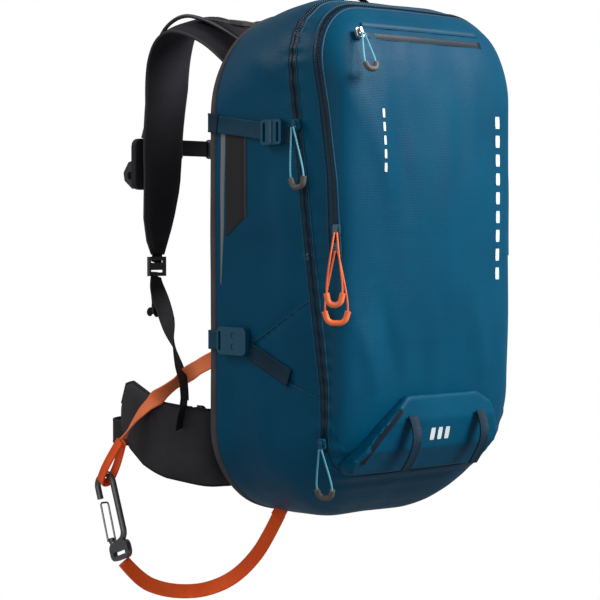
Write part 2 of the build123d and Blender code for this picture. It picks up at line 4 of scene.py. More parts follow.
import bmesh
import numpy as np
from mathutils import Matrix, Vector, noise
from mathutils.bvhtree import BVHTree


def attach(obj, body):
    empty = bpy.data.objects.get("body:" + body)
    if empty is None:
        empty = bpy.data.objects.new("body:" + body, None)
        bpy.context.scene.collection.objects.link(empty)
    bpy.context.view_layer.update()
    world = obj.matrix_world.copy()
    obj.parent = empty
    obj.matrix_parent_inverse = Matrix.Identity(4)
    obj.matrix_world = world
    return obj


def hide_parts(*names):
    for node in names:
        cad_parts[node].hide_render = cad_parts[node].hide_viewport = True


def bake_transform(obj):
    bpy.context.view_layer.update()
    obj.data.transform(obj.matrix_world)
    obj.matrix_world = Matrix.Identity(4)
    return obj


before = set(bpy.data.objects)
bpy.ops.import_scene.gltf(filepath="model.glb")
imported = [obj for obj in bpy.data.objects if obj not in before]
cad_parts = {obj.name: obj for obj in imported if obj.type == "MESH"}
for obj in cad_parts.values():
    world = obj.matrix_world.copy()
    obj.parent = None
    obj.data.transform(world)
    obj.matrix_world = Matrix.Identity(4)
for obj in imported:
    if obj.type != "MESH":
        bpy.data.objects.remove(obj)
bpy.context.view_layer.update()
mm = 0.001

# ---------------------------------------------------------------- studio
# The pack hangs free in a white studio. The white backdrop is what the lens sees; the light
# that reaches the cloth from all round is dimmer, with a large key lamp from the front right,
# a low fill from the left and a rim lamp from behind the shoulder straps.

world = bpy.data.worlds.new("studio_air")
world.use_nodes = True
air_nodes = world.node_tree.nodes
air_links = world.node_tree.links
dim_air = air_nodes["Background"]
dim_air.inputs[0].default_value = (0.96, 0.98, 1.0, 1)
dim_air.inputs[1].default_value = 0.3
white_air = air_nodes.new("ShaderNodeBackground")
white_air.inputs[0].default_value = (1, 1, 1, 1)
white_air.inputs[1].default_value = 1.0
seen = air_nodes.new("ShaderNodeLightPath")
choice = air_nodes.new("ShaderNodeMixShader")
air_links.new(seen.outputs["Is Camera Ray"], choice.inputs[0])
air_links.new(dim_air.outputs[0], choice.inputs[1])
air_links.new(white_air.outputs[0], choice.inputs[2])
air_links.new(choice.outputs[0], air_nodes["World Output"].inputs["Surface"])
bpy.context.scene.world = world
bpy.context.scene.view_settings.view_transform = "Standard"


def soft_light(name, place, target, size, power):
    lamp = bpy.data.lights.new(name, "AREA")
    lamp.shape = "DISK"
    lamp.size = size
    lamp.energy = power
    stand = bpy.data.objects.new(name, lamp)
    stand.location = place
    stand.rotation_euler = (Vector(target) - Vector(place)).to_track_quat("-Z", "Y").to_euler()
    bpy.context.collection.objects.link(stand)


soft_light("key_light", (1.1, -2.2, 1.6), (0, -0.1, 0.0), 1.5, 125)
soft_light("fill_light", (-2.6, -1.0, 0.3), (0, 0, 0), 2.0, 12)
soft_light("rim_light", (-1.6, 1.6, 1.9), (0, 0, 0), 1.2, 24)

view_turn = math.radians(-43)
view_rise = math.radians(2.0)
camera_reach = 2.45
look_at = Vector((0.0, 0.0, -0.0515))
toward_camera = Vector((math.sin(view_turn) * math.cos(view_rise), -math.cos(view_turn) * math.cos(view_rise),
                        math.sin(view_rise)))
camera_data = bpy.data.cameras.new("studio_camera")
camera_data.lens = 120.5
camera_data.sensor_width = 36
camera = bpy.data.objects.new("studio_camera", camera_data)
camera.location = look_at + toward_camera * camera_reach
camera.rotation_euler = (-toward_camera).to_track_quat("-Z", "Y").to_euler()
bpy.context.collection.objects.link(camera)
bpy.context.scene.camera = camera

# ---------------------------------------------------------------- bag skins
# The bag is three skins of coated nylon: the rear skin that holds the main load, the ring and
# lower front that fold down from the main zip, and the upper front, which opens on its own zip on
# the pack but is baked in place here and rides on no body. They are cut to one tight crowned
# shape, with puckers where zips and seams draw the cloth in.

# (y, half width, bottom z, top z, bottom corner radius, top corner radius) in mm, back to front
bag_slices = [
    (-15, 150, -292, 282, 100, 114),
    (-24, 156, -299, 288, 108, 120),
    (-110, 156, -299, 298, 108, 96),
    (-145, 156, -284, 294, 90, 84),
    (-175, 154, -257, 285, 70, 74),
    (-200, 147, -228, 268, 55, 62),
    (-217, 134, -190, 236, 45, 55),
    (-226, 110, -140, 188, 40, 50),
    (-230, 74, -90, 118, 30, 40),
]
fold_z = 4.0
main_zip_line = [(-186, -262), (-192, -222), (-200, -180), (-200, -140), (-195, -88), (-168, 130),
                 (-143, 320)]
flap_zip_line = [(-211, 4), (-208, 90), (-200, 170), (-188, 240), (-170, 320)]
side_columns = 34
arc_columns = 44
flat_columns = 36


def catmull(values, t):
    """Smooth value at t along evenly numbered values."""
    values = np.asarray(values, float)
    last = len(values) - 1
    i = np.clip(np.floor(t).astype(int), 0, last - 1)
    f = t - i
    a = values[np.maximum(i - 1, 0)]
    b = values[i]
    c = values[i + 1]
    d = values[np.minimum(i + 2, last)]
    return b + 0.5 * f * (c - a + f * (2 * a - 5 * b + 4 * c - d + f * (3 * (b - c) + d - a)))


def bag_outline(y, half, low, high, r_low, r_high):
    """One slice as columns of points, anticlockwise from the fold's height on the right side."""

    def run(a, b, count):
        steps = np.linspace(0, 1, count, endpoint=False)[:, None]
        return np.array(a) * (1 - steps) + np.array(b) * steps

    def bend(cx, cz, r, start):
        turn = start + np.linspace(0, math.pi / 2, arc_columns, endpoint=False)
        return np.stack([cx + r * np.cos(turn), cz + r * np.sin(turn)], 1)

    ring = np.concatenate([
        run((half, fold_z), (half, high - r_high), side_columns),
        bend(half - r_high, high - r_high, r_high, 0),
        run((half - r_high, high), (r_high - half, high), flat_columns),
        bend(r_high - half, high - r_high, r_high, math.pi / 2),
        run((-half, high - r_high), (-half, fold_z), side_columns),
        run((-half, fold_z), (-half, low + r_low), side_columns),
        bend(r_low - half, low + r_low, r_low, math.pi),
        run((r_low - half, low), (half - r_low, low), flat_columns),
        bend(half - r_low, low + r_low, r_low, 1.5 * math.pi),
        run((half, low + r_low), (half, fold_z), side_columns),
    ])
    return np.stack([ring[:, 0], np.full(len(ring), y), ring[:, 1]], 1)


def bag_point_rows(depths):
    """Rows of bag surface points; depth -1 is the back's middle, 0 to 8 the slices, 9 the front's middle."""
    rows = []
    for t in depths:
        inner = min(max(t, 0.0), 8.0)
        values = [float(catmull([s[k] for s in bag_slices], np.array(inner))) for k in range(6)]
        row = bag_outline(*values)
        if t < 0:
            shrink = 1 + t
            row = np.stack([row[:, 0] * shrink, row[:, 1], fold_z + (row[:, 2] - fold_z) * shrink], 1)
        if t > 8:
            shrink = 9 - t
            crown = -1.6 * (1 - shrink**2)
            row = np.stack([row[:, 0] * shrink, row[:, 1] + crown, fold_z + (row[:, 2] - fold_z) * shrink], 1)
        rows.append(row)
    return np.array(rows)


fine_depths = np.linspace(-1, 9, 801)
fine_rows = bag_point_rows(fine_depths)
column_count = fine_rows.shape[1]
upper_columns = 2 * side_columns + 2 * arc_columns + flat_columns


def line_y(line, z):
    return np.interp(z, [p[1] for p in line], [p[0] for p in line])


def crossing_depth(line, first, last):
    """Depth at which each column from first to last passes a zip line."""
    found = np.zeros(column_count)
    for column in range(first, last):
        gap = fine_rows[:, column, 1] - line_y(line, fine_rows[:, column, 2])
        start = np.argmax((gap < 0) & (fine_depths > 1.0))
        share = gap[start - 1] / (gap[start - 1] - gap[start])
        found[column] = fine_depths[start - 1] + share * (fine_depths[start] - fine_depths[start - 1])
    return found


main_cut = crossing_depth(main_zip_line, 0, column_count)
flap_cut = crossing_depth(flap_zip_line, 0, upper_columns + 1)


def bag_at(column, depth):
    """Bag surface point of one column at one depth."""
    place = (depth + 1) * 80
    low = int(min(max(math.floor(place), 0), 799))
    share = place - low
    return fine_rows[low, column] * (1 - share) + fine_rows[low + 1, column] * share


def smooth_step(low, high, value):
    t = np.clip((value - low) / (high - low), 0, 1)
    return t * t * (3 - 2 * t)


def crease(p, a, b, width, depth):
    """A soft valley or ridge along the stretch from a to b."""
    a = np.array(a, float)
    b = np.array(b, float)
    along = b - a
    share = np.clip(((p - a) @ along) / (along @ along), 0, 1)
    away = np.linalg.norm(p - (a + share[:, None] * along), axis=1)
    return depth * np.exp(-((away / width) ** 2)) * np.sin(math.pi * np.clip(share, 0.04, 0.96)) ** 0.6


def ripple(p, scale, seed):
    places = p * scale + np.array([seed, 0, -seed])
    return np.array([noise.noise(Vector(q)) for q in places])


def cloth_relief(p):
    """How far, in mm, the tight cloth stands in or out at bag surface points p."""
    x, y, z = p[:, 0], p[:, 1], p[:, 2]
    front = smooth_step(-150, -225, y)
    relief = 1.1 * ripple(p, 0.008, 3.1) + 0.5 * ripple(p * np.array([1, 1, 0.5]), 0.03, 7.7)
    # long soft drag lines on the front, from the flap's top corners down to the pocket
    relief += front * 0.8 * ripple(p * np.array([1.0, 1.0, 0.22]), 0.035, 1.3)
    # puckers along the main zip
    beside = np.abs(y - line_y(main_zip_line, z))
    relief += 0.55 * np.exp(-((beside / 16) ** 2)) * np.sin(z * 0.33 + 1.5 * np.sin(z * 0.05)) * (y > -205)
    # seams of the side's compression panel, which meet at the lower buckle
    for side in (-156, 156):
        relief += crease(p, (side, -86, -100), (side, -178, -44), 3.2, -1.6)
        relief += crease(p, (side, -88, -110), (side, -190, -150), 3.2, -1.6)
        relief += crease(p, (side, -60, 250), (side, -150, 190), 16, 2.2)
        relief += crease(p, (side, -130, 110), (side, -152, -20), 18, 2.0)
        relief += crease(p, (side, -90, -130), (side * 0.9, -120, -262), 22, 2.4)
        relief += crease(p, (side, -50, -130), (side * 0.88, -60, -272), 20, -2.0)
    # drag lines on the front: from the shoulder corners, and towards the lower pocket
    relief += crease(p, (-112, -216, 196), (-70, -232, 60), 14, 1.8)
    relief += crease(p, (-60, -226, 210), (-50, -232, 30), 16, -1.6)
    relief += crease(p, (10, -226, 215), (22, -233, -30), 20, 1.5)
    relief += crease(p, (120, -214, 190), (112, -221, -60), 10, -1.8)
    relief += crease(p, (-120, -214, -60), (-92, -222, -150), 12, 2.4)
    relief += crease(p, (-98, -222, -20), (-60, -228, -146), 12, -1.8)
    relief += crease(p, (60, -228, -40), (84, -224, -146), 14, 1.8)
    # the cloth is pulled flat where the top pocket's slider runs
    calm = smooth_step(222, 236, z) * smooth_step(-185, -195, y) * smooth_step(-40, -60, x)
    return relief * 1.35 * (1 - calm) - 0.9 * calm


def mesh_piece(name, points, faces, material, smooth=True):
    """A mesh object from points in mm and faces."""
    data = bpy.data.meshes.new(name)
    data.from_pydata([tuple(q * mm for q in p) for p in points], [], [list(f) for f in faces])
    data.update()
    if smooth:
        data.polygons.foreach_set("use_smooth", [True] * len(data.polygons))
    piece = bpy.data.objects.new(name, data)
    piece.data.materials.append(material)
    bpy.context.collection.objects.link(piece)
    return piece


def skin_grid(name, columns, start, stop, rows, material, closed):
    """A skin between two depths, per column, with the cloth's relief and a 1.2 mm wall."""
    share = np.linspace(0, 1, rows)
    points = []
    for step in share:
        for column in columns:
            points.append(bag_at(column, start[column] * (1 - step) + stop[column] * step))
    points = np.array(points)
    wide = len(columns)
    faces = []
    spans = wide if closed else wide - 1
    for row in range(rows - 1):
        for i in range(spans):
            j = (i + 1) % wide
            faces.append((row * wide + i, row * wide + j, (row + 1) * wide + j, (row + 1) * wide + i))
    piece = mesh_piece(name, points, faces, material)
    bm = bmesh.new()
    bm.from_mesh(piece.data)
    bmesh.ops.remove_doubles(bm, verts=bm.verts, dist=0.00005)
    bmesh.ops.recalc_face_normals(bm, faces=bm.faces)
    outward = sum((f.normal.dot(f.calc_center_median() - Vector((0, -0.1, 0))) for f in bm.faces))
    if outward < 0:
        bmesh.ops.reverse_faces(bm, faces=bm.faces)
    bm.normal_update()
    spots = np.array([v.co for v in bm.verts]) / mm
    relief = cloth_relief(spots)
    for v, lift in zip(bm.verts, relief):
        v.co += v.normal * lift * mm
    bm.to_mesh(piece.data)
    bm.free()
    wall = piece.modifiers.new("wall", "SOLIDIFY")
    wall.thickness = 0.0012
    wall.offset = -1
    crisp = piece.modifiers.new("crisp_cut_edge", "EDGE_SPLIT")
    crisp.split_angle = math.radians(50)
    return piece


def coated_nylon(name, colour, shade, thread=0.9, gloss=0.42):
    """Tight plain-weave nylon: fine crossing threads, soft sheen, faint colour change and dulled wear."""
    material = bpy.data.materials.new(name)
    material.use_nodes = True
    nodes = material.node_tree.nodes
    links = material.node_tree.links
    shader = nodes["Principled BSDF"]
    place = nodes.new("ShaderNodeTexCoord")
    blotch = nodes.new("ShaderNodeTexNoise")
    blotch.inputs["Scale"].default_value = 9
    blotch.inputs["Detail"].default_value = 5
    tint = nodes.new("ShaderNodeValToRGB")
    tint.color_ramp.elements[0].position = 0.3
    tint.color_ramp.elements[0].color = shade
    tint.color_ramp.elements[1].position = 0.7
    tint.color_ramp.elements[1].color = colour
    links.new(place.outputs["Object"], blotch.inputs["Vector"])
    links.new(blotch.outputs["Fac"], tint.inputs["Fac"])
    links.new(tint.outputs["Color"], shader.inputs["Base Color"])
    weaves = []
    for direction in ("X", "Z"):
        wave = nodes.new("ShaderNodeTexWave")
        wave.wave_type = "BANDS"
        wave.bands_direction = direction
        wave.inputs["Scale"].default_value = 314 / thread / 2
        wave.inputs["Distortion"].default_value = 0.4
        links.new(place.outputs["Object"], wave.inputs["Vector"])
        weaves.append(wave)
    cross = nodes.new("ShaderNodeMath")
    cross.operation = "MULTIPLY"
    links.new(weaves[0].outputs["Fac"], cross.inputs[0])
    links.new(weaves[1].outputs["Fac"], cross.inputs[1])
    fleck = nodes.new("ShaderNodeTexNoise")
    fleck.inputs["Scale"].default_value = 260
    links.new(place.outputs["Object"], fleck.inputs["Vector"])
    total = nodes.new("ShaderNodeMath")
    total.operation = "ADD"
    links.new(cross.outputs[0], total.inputs[0])
    links.new(fleck.outputs["Fac"], total.inputs[1])
    bump = nodes.new("ShaderNodeBump")
    bump.inputs["Strength"].default_value = 0.25
    bump.inputs["Distance"].default_value = 0.0004
    links.new(total.outputs[0], bump.inputs["Height"])
    links.new(bump.outputs["Normal"], shader.inputs["Normal"])
    rough = nodes.new("ShaderNodeMapRange")
    rough.inputs["To Min"].default_value = gloss - 0.06
    rough.inputs["To Max"].default_value = gloss + 0.1
    links.new(fleck.outputs["Fac"], rough.inputs["Value"])
    links.new(rough.outputs["Result"], shader.inputs["Roughness"])
    shader.inputs["Specular IOR Level"].default_value = 0.1
    return material


bag_cloth = coated_nylon("bag_cloth", (0.0, 0.07, 0.136, 1), (0.0, 0.054, 0.112, 1))
all_columns = list(range(column_count))
back_middle = np.full(column_count, -1.0)
front_middle = np.full(column_count, 9.0)
cut_gap = 0.012

rear_skin = skin_grid("rear_bag_skin", all_columns, back_middle, main_cut - cut_gap, 120, bag_cloth, True)
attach(rear_skin, "pack")
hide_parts("rear_bag_shell")

upper = list(range(0, upper_columns + 1))
lower = list(range(upper_columns, column_count)) + [0]
ring_skin = skin_grid("main_flap_ring", upper, main_cut + cut_gap, flap_cut - cut_gap, 26, bag_cloth, False)
lower_front = skin_grid("main_flap_lower_front", lower, main_cut + cut_gap, front_middle, 90, bag_cloth,
                        False)
for piece in (ring_skin, lower_front):
    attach(piece, "main_flap")
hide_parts("main_flap_shell")

front_skin = skin_grid("front_flap_skin", upper, flap_cut + cut_gap, front_middle, 90, bag_cloth, False)
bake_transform(front_skin)
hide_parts("front_flap_shell")

# ---------------------------------------------------------------- zips
# Water-repellent coil zips: a coated tape sewn to each side of the cut, two rows of nylon coil
# that mesh in the middle, and a folded welt with a cord in it along each edge. The main zip's
# chain stays on the rear bag; the flap's chain stays on the ring that the flap opens from.

steps = np.linalg.norm(np.diff(fine_rows, axis=0), axis=2)
walked = np.concatenate([np.zeros((1, column_count)), np.cumsum(steps, axis=0)])


def bag_spot(column, start_depth, aside, lift):
    """A point on the cloth, aside mm further forward along the column and lift mm above the cloth."""
    place = np.interp(start_depth, fine_depths, walked[:, column]) + aside
    depth = float(np.interp(place, walked[:, column], fine_depths))
    here = bag_at(column, depth)
    around = bag_at((column + 1) % column_count, depth) - bag_at(column - 1, depth)
    forward = bag_at(column, depth + 0.04) - bag_at(column, depth - 0.04)
    outward = np.cross(around, forward)
    outward = outward / (np.linalg.norm(outward) + 1e-9)
    return here + outward * (lift + cloth_relief(here[None, :])[0]), outward


def band_on_bag(name, columns, depths, profile, material, closed=False):
    """A strip that follows a line round the bag; profile holds (aside, lift) pairs across it."""
    points = []
    for column in columns:
        for aside, lift in profile:
            points.append(bag_spot(column, depths[column], aside, lift)[0])
    wide = len(profile)
    faces = []
    rounds = len(columns) if closed else len(columns) - 1
    for i in range(rounds):
        k = (i + 1) % len(columns)
        for j in range(wide - 1):
            faces.append((i * wide + j, k * wide + j, k * wide + j + 1, i * wide + j + 1))
    return mesh_piece(name, points, faces, material)


def welt_profile(aside, radius):
    """Half-round section of a corded welt."""
    return [(aside + radius * 1.15 * math.cos(a), radius * 1.2 * math.sin(a) - 0.2)
            for a in np.linspace(math.pi, 0, 9)]


def coil_teeth(name, columns, depths, material):
    """Two rows of small meshed teeth along the cut, one every 1.6 mm."""
    spots = [bag_spot(c, depths[c], 0, 0.9) for c in columns]
    line = np.array([s[0] for s in spots])
    normals = np.array([s[1] for s in spots])
    length = np.concatenate([[0], np.cumsum(np.linalg.norm(np.diff(line, axis=0), axis=1))])
    points = []
    faces = []
    count = int(length[-1] / 1.6)
    for i in range(count):
        s = (i + 0.5) * 1.6
        here = np.array([np.interp(s, length, line[:, k]) for k in range(3)])
        ahead = np.array([np.interp(s + 0.8, length, line[:, k]) for k in range(3)]) - here
        out = np.array([np.interp(s, length, normals[:, k]) for k in range(3)])
        ahead = ahead / (np.linalg.norm(ahead) + 1e-9)
        side = np.cross(out, ahead) * (1 if i % 2 else -1)
        base = len(points)
        for a, b, c in ((-1, -0.6, 0), (1, -0.6, 0), (0.6, 2.1, 0), (-0.6, 2.1, 0),
                        (-0.7, -0.3, 1), (0.7, -0.3, 1), (0.4, 1.7, 1), (-0.4, 1.7, 1)):
            points.append(here + ahead * a * 0.62 + side * b + out * c * 0.9)
        for f in ((4, 5, 6, 7), (0, 1, 5, 4), (1, 2, 6, 5), (2, 3, 7, 6), (3, 0, 4, 7)):
            faces.append(tuple(base + k for k in f))
    return mesh_piece(name, points, faces, material, smooth=False)


def plain_cloth(name, colour, shade, scale=420, roughness=0.75, depth=0.0003, specular=0.25):
    """Dyed cloth or matte moulding with a fine grain and faint colour change."""
    material = bpy.data.materials.new(name)
    material.use_nodes = True
    nodes = material.node_tree.nodes
    links = material.node_tree.links
    shader = nodes["Principled BSDF"]
    place = nodes.new("ShaderNodeTexCoord")
    tone = nodes.new("ShaderNodeTexNoise")
    tone.inputs["Scale"].default_value = 24
    tone.inputs["Detail"].default_value = 6
    links.new(place.outputs["Object"], tone.inputs["Vector"])
    tint = nodes.new("ShaderNodeValToRGB")
    tint.color_ramp.elements[0].position = 0.35
    tint.color_ramp.elements[0].color = shade
    tint.color_ramp.elements[1].position = 0.65
    tint.color_ramp.elements[1].color = colour
    links.new(tone.outputs["Fac"], tint.inputs["Fac"])
    links.new(tint.outputs["Color"], shader.inputs["Base Color"])
    grain = nodes.new("ShaderNodeTexNoise")
    grain.inputs["Scale"].default_value = scale
    grain.inputs["Detail"].default_value = 3
    links.new(place.outputs["Object"], grain.inputs["Vector"])
    bump = nodes.new("ShaderNodeBump")
    bump.inputs["Strength"].default_value = 0.35
    bump.inputs["Distance"].default_value = depth
    links.new(grain.outputs["Fac"], bump.inputs["Height"])
    links.new(bump.outputs["Normal"], shader.inputs["Normal"])
    rough = nodes.new("ShaderNodeMapRange")
    rough.inputs["To Min"].default_value = roughness - 0.08
    rough.inputs["To Max"].default_value = min(roughness + 0.1, 1)
    links.new(grain.outputs["Fac"], rough.inputs["Value"])
    links.new(rough.outputs["Result"], shader.inputs["Roughness"])
    shader.inputs["Specular IOR Level"].default_value = specular
    return material


zip_tape_cloth = plain_cloth("zip_tape_cloth", (0.0, 0.03, 0.062, 1), (0.0, 0.022, 0.046, 1), 500, 0.45)
zip_coil_nylon = plain_cloth("zip_coil_nylon", (0.004, 0.016, 0.03, 1), (0.003, 0.011, 0.022, 1), 900, 0.4)
welt_cloth = plain_cloth("welt_cloth", (0.0, 0.062, 0.122, 1), (0.0, 0.046, 0.096, 1), 600, 0.5)

lower_left = [c for c in range(upper_columns, column_count) if bag_at(c, main_cut[c])[2] > -211]
main_run = ([c for c in lower_left if bag_at(c, main_cut[c])[0] > 0] + upper
            + [c for c in lower_left if bag_at(c, main_cut[c])[0] < 0])
tape_section = [(-5.6, -0.3), (-5.2, 0.5), (-2.4, 0.75), (0, 0.55), (2.4, 0.75), (5.2, 0.5), (5.6, -0.3)]
main_parts = [band_on_bag("main_zip_tape", main_run, main_cut, [(a - 3.6, b) for a, b in tape_section[:6]],
                          zip_tape_cloth),
              band_on_bag("main_zip_rear_welt", main_run, main_cut, welt_profile(-9.4, 1.2), welt_cloth)]
main_teeth = coil_teeth("main_zip_coil", main_run, main_cut - 0.1, zip_coil_nylon)
for piece in main_parts + [main_teeth]:
    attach(piece, "pack")
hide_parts("main_zip_chain")

flap_parts = [band_on_bag("flap_zip_tape", upper, flap_cut, [(a - 3.6, b) for a, b in tape_section[:6]],
                          zip_tape_cloth),
              band_on_bag("ring_front_welt", upper, flap_cut, welt_profile(-9.6, 1.2), welt_cloth),
              band_on_bag("ring_rear_welt", upper, main_cut, welt_profile(3.2, 1.1), welt_cloth),
              coil_teeth("flap_zip_coil", upper, flap_cut - 0.1, zip_coil_nylon)]
for piece in flap_parts:
    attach(piece, "main_flap")
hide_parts("flap_zip_chain")

flap_welt = band_on_bag("flap_edge_welt", upper, flap_cut, welt_profile(3.0, 1.2), welt_cloth)
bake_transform(flap_welt)
columns_left = [c for c in lower_left if bag_at(c, main_cut[c])[0] < 0]
columns_right = [c for c in lower_left if bag_at(c, main_cut[c])[0] > 0]
lower_welt_left = band_on_bag("lower_front_welt_left", columns_left,
                              main_cut, welt_profile(3.2, 1.1), welt_cloth)
lower_welt_right = band_on_bag("lower_front_welt_right", columns_right,
                               main_cut, welt_profile(3.2, 1.1), welt_cloth)
for piece in (lower_welt_left, lower_welt_right):
    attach(piece, "main_flap")

# ---------------------------------------------------------------- edge binding
# Ribbed grosgrain tape, folded round the seam where the back panel meets the sides and
# stitched through on both edges.

edge_tape_cloth = plain_cloth("edge_tape_cloth", (0.072, 0.064, 0.068, 1), (0.05, 0.045, 0.049, 1), 700, 0.7)
edge_depths = np.full(column_count, 0.55)
edge_section = [(-12.5, -0.2), (-11.8, 0.9), (-9.4, 1.5), (-4, 1.7), (0, 1.5), (4, 1.7), (9.6, 1.5),
                (11.4, 0.9),
                (11.9, -0.2)]
edge_tape = band_on_bag("edge_binding_tape", all_columns, edge_depths, edge_section, edge_tape_cloth, True)
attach(edge_tape, "pack")
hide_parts("edge_binding")

# ---------------------------------------------------------------- side mesh pockets
# Elastic mesh let into the side beside the back edge, hemmed along its front, with a pale
# woven strip between it and the binding that tapers to a point below the mesh.

skin_verts = []
skin_faces = []
for row in range(0, 801, 4):
    skin_verts.extend(Vector(p) for p in fine_rows[row])
for row in range(200):
    for column in range(column_count):
        other = (column + 1) % column_count
        skin_faces.append((row * column_count + column, row * column_count + other,
                           (row + 1) * column_count + other, (row + 1) * column_count + column))
bag_tree = BVHTree.FromPolygons(skin_verts, skin_faces)


def on_bag(start, direction, lift):
    """Where a line from outside meets the cloth, raised by lift, and the cloth's outward normal."""
    hit, normal, _, _ = bag_tree.ray_cast(Vector(start), Vector(direction))
    if normal.dot(Vector(direction)) > 0:
        normal = -normal
    p = np.array(hit)
    n = np.array(normal)
    return p + n * (lift + cloth_relief(p[None, :])[0]), n


def side_patch(name, rear_edge, front_edge, z_values, lift, material, side=-1, across=10):
    """A cloth patch on the bag's side between two edges given as (z, y) pairs."""
    points = []
    for z in z_values:
        a = np.interp(z, [e[0] for e in rear_edge], [e[1] for e in rear_edge])
        b = np.interp(z, [e[0] for e in front_edge], [e[1] for e in front_edge])
        for j in range(across):
            y = a + (b - a) * j / (across - 1)
            rise = lift if 0 < j < across - 1 and z not in (z_values[0], z_values[-1]) else -0.2
            points.append(on_bag((side * 400, y, z), (-side, 0, 0), rise)[0])
    faces = []
    for i in range(len(z_values) - 1):
        for j in range(across - 1):
            faces.append((i * across + j, i * across + j + 1, (i + 1) * across + j + 1, (i + 1) * across + j))
    return mesh_piece(name, points, faces, material)


def open_mesh(name, colour, pitch):
    """Elastic net: raised threads round small dark holes."""
    material = plain_cloth(name, colour, colour, 500, 0.8)
    nodes = material.node_tree.nodes
    links = material.node_tree.links
    cells = nodes.new("ShaderNodeTexVoronoi")
    cells.inputs["Scale"].default_value = 1 / pitch
    cells.inputs["Randomness"].default_value = 0.25
    links.new(nodes["Texture Coordinate"].outputs["Object"], cells.inputs["Vector"])
    links.new(cells.outputs["Distance"], nodes["Bump"].inputs["Height"])
    nodes["Bump"].inputs["Strength"].default_value = 0.8
    nodes["Bump"].inputs["Distance"].default_value = 0.0006
    return material


black_net = open_mesh("black_net", (0.022, 0.02, 0.022, 1), 0.0026)
pale_strip_cloth = open_mesh("pale_strip_cloth", (0.2, 0.2, 0.21, 1), 0.0034)
for side, hand in ((-1, "left"), (1, "right")):
    net = side_patch("side_mesh_" + hand, [(26, -42), (148, -42)],
                     [(26, -44), (47, -77), (140, -77), (148, -72)],
                     np.linspace(26, 148, 40), 0.9, black_net, side)
    strip = side_patch("side_pale_strip_" + hand, [(-30, -33.5), (148, -33.5)],
                       [(-30, -34.5), (40, -40), (148, -42.5)], np.linspace(-30, 148,
                                                                            50), 0.7, pale_strip_cloth,
                       side, 6)
    hem = side_patch("side_mesh_hem_" + hand, [(47, -76.2), (140, -76.2)], [(47, -78.8), (140, -78.8)],
                     np.linspace(47, 140, 30), 1.5, edge_tape_cloth, side, 6)
    for piece in (net, strip, hem):
        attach(piece, "pack")
    if side == -1:
        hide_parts("side_mesh_pockets")

# ---------------------------------------------------------------- webbing
# Polypropylene webbing: flat, ribbed across, with a rolled selvage on both edges. The haul
# loop, helmet loop, load lifters, belt and chest webbing are all cut from it, in black.


def smooth_route(points):
    """Points along the smooth line that a route's control points pull."""
    curve = bpy.data.curves.new("route", "CURVE")
    curve.dimensions = "3D"
    curve.resolution_u = 12
    spline = curve.splines.new("NURBS")
    spline.points.add(len(points) - 1)
    for knot, p in zip(spline.points, points):
        knot.co = (p[0], p[1], p[2], 1)
    spline.order_u = 3
    spline.use_endpoint_u = True
    holder = bpy.data.objects.new("route", curve)
    bpy.context.collection.objects.link(holder)
    data = bpy.data.meshes.new_from_object(holder)
    line = [Vector(v.co) for v in data.vertices]
    bpy.data.objects.remove(holder)
    return line


def spread(values, shares):
    """The values, evenly spaced from 0 to 1, read at the given shares."""
    values = np.array(values, float)
    at = np.linspace(0, 1, len(values))
    return np.stack([np.interp(shares, at, values[:, k]) for k in range(values.shape[1])], 1)


def tube_faces(rings, sides):
    """Faces that join rings of points into a closed tube with a cap at each end."""
    faces = []
    for i in range(rings - 1):
        for j in range(sides):
            k = (j + 1) % sides
            faces.append((i * sides + j, i * sides + k, (i + 1) * sides + k, (i + 1) * sides + j))
    faces.append(tuple(range(sides - 1, -1, -1)))
    faces.append(tuple((rings - 1) * sides + j for j in range(sides)))
    return faces


def webbing(name, points, across, width, thick, material, taper=None):
    """Flat webbing along a route in mm; across holds width directions from start to end."""
    line = smooth_route(points)
    gaps = [0] + [(b - a).length for a, b in zip(line, line[1:])]
    length = np.cumsum(gaps)
    shares = length / length[-1]
    ways = spread(across, shares)
    wides = np.interp(shares, np.linspace(0, 1, len(taper)), taper) if taper else np.full(len(line), 1.0)
    verts = []
    section = [(-0.5, 0.22), (-0.47, 0.5), (-0.42, 0.56), (-0.38, 0.44), (0.38, 0.44), (0.42, 0.56),
               (0.47, 0.5),
               (0.5, 0.22), (0.5, -0.22), (0.47, -0.5), (0.42, -0.56), (0.38, -0.44), (-0.38, -0.44),
               (-0.42, -0.56), (-0.47, -0.5), (-0.5, -0.22)]
    for i, here in enumerate(line):
        along = (line[min(i + 1, len(line) - 1)] - line[max(i - 1, 0)]).normalized()
        way = Vector(ways[i])
        way = (way - along * way.dot(along)).normalized()
        face = along.cross(way)
        for u, v in section:
            verts.append(np.array(here + way * (u * width * wides[i]) + face * (v * thick)))
    count = len(section)
    piece = mesh_piece(name, verts, tube_faces(len(line), count), material)
    layer = piece.data.uv_layers.new(name="along")
    for polygon in piece.data.polygons:
        for loop in polygon.loop_indices:
            vertex = piece.data.loops[loop].vertex_index
            layer.data[loop].uv = (length[vertex // count] * mm, section[vertex % count][0] * width * mm)
    return piece


def woven(name, colour, shade, roughness=0.6):
    """Webbing weave: ribs across every 1.3 mm."""
    material = plain_cloth(name, colour, shade, 700, roughness)
    nodes = material.node_tree.nodes
    links = material.node_tree.links
    flat = nodes.new("ShaderNodeUVMap")
    flat.uv_map = "along"
    ribs = nodes.new("ShaderNodeTexWave")
    ribs.bands_direction = "X"
    ribs.inputs["Scale"].default_value = 240
    ribs.inputs["Distortion"].default_value = 0.6
    ribs.inputs["Detail"].default_value = 1
    links.new(flat.outputs["UV"], ribs.inputs["Vector"])
    links.new(ribs.outputs["Fac"], nodes["Bump"].inputs["Height"])
    nodes["Bump"].inputs["Distance"].default_value = 0.00045
    nodes["Bump"].inputs["Strength"].default_value = 0.5
    return material


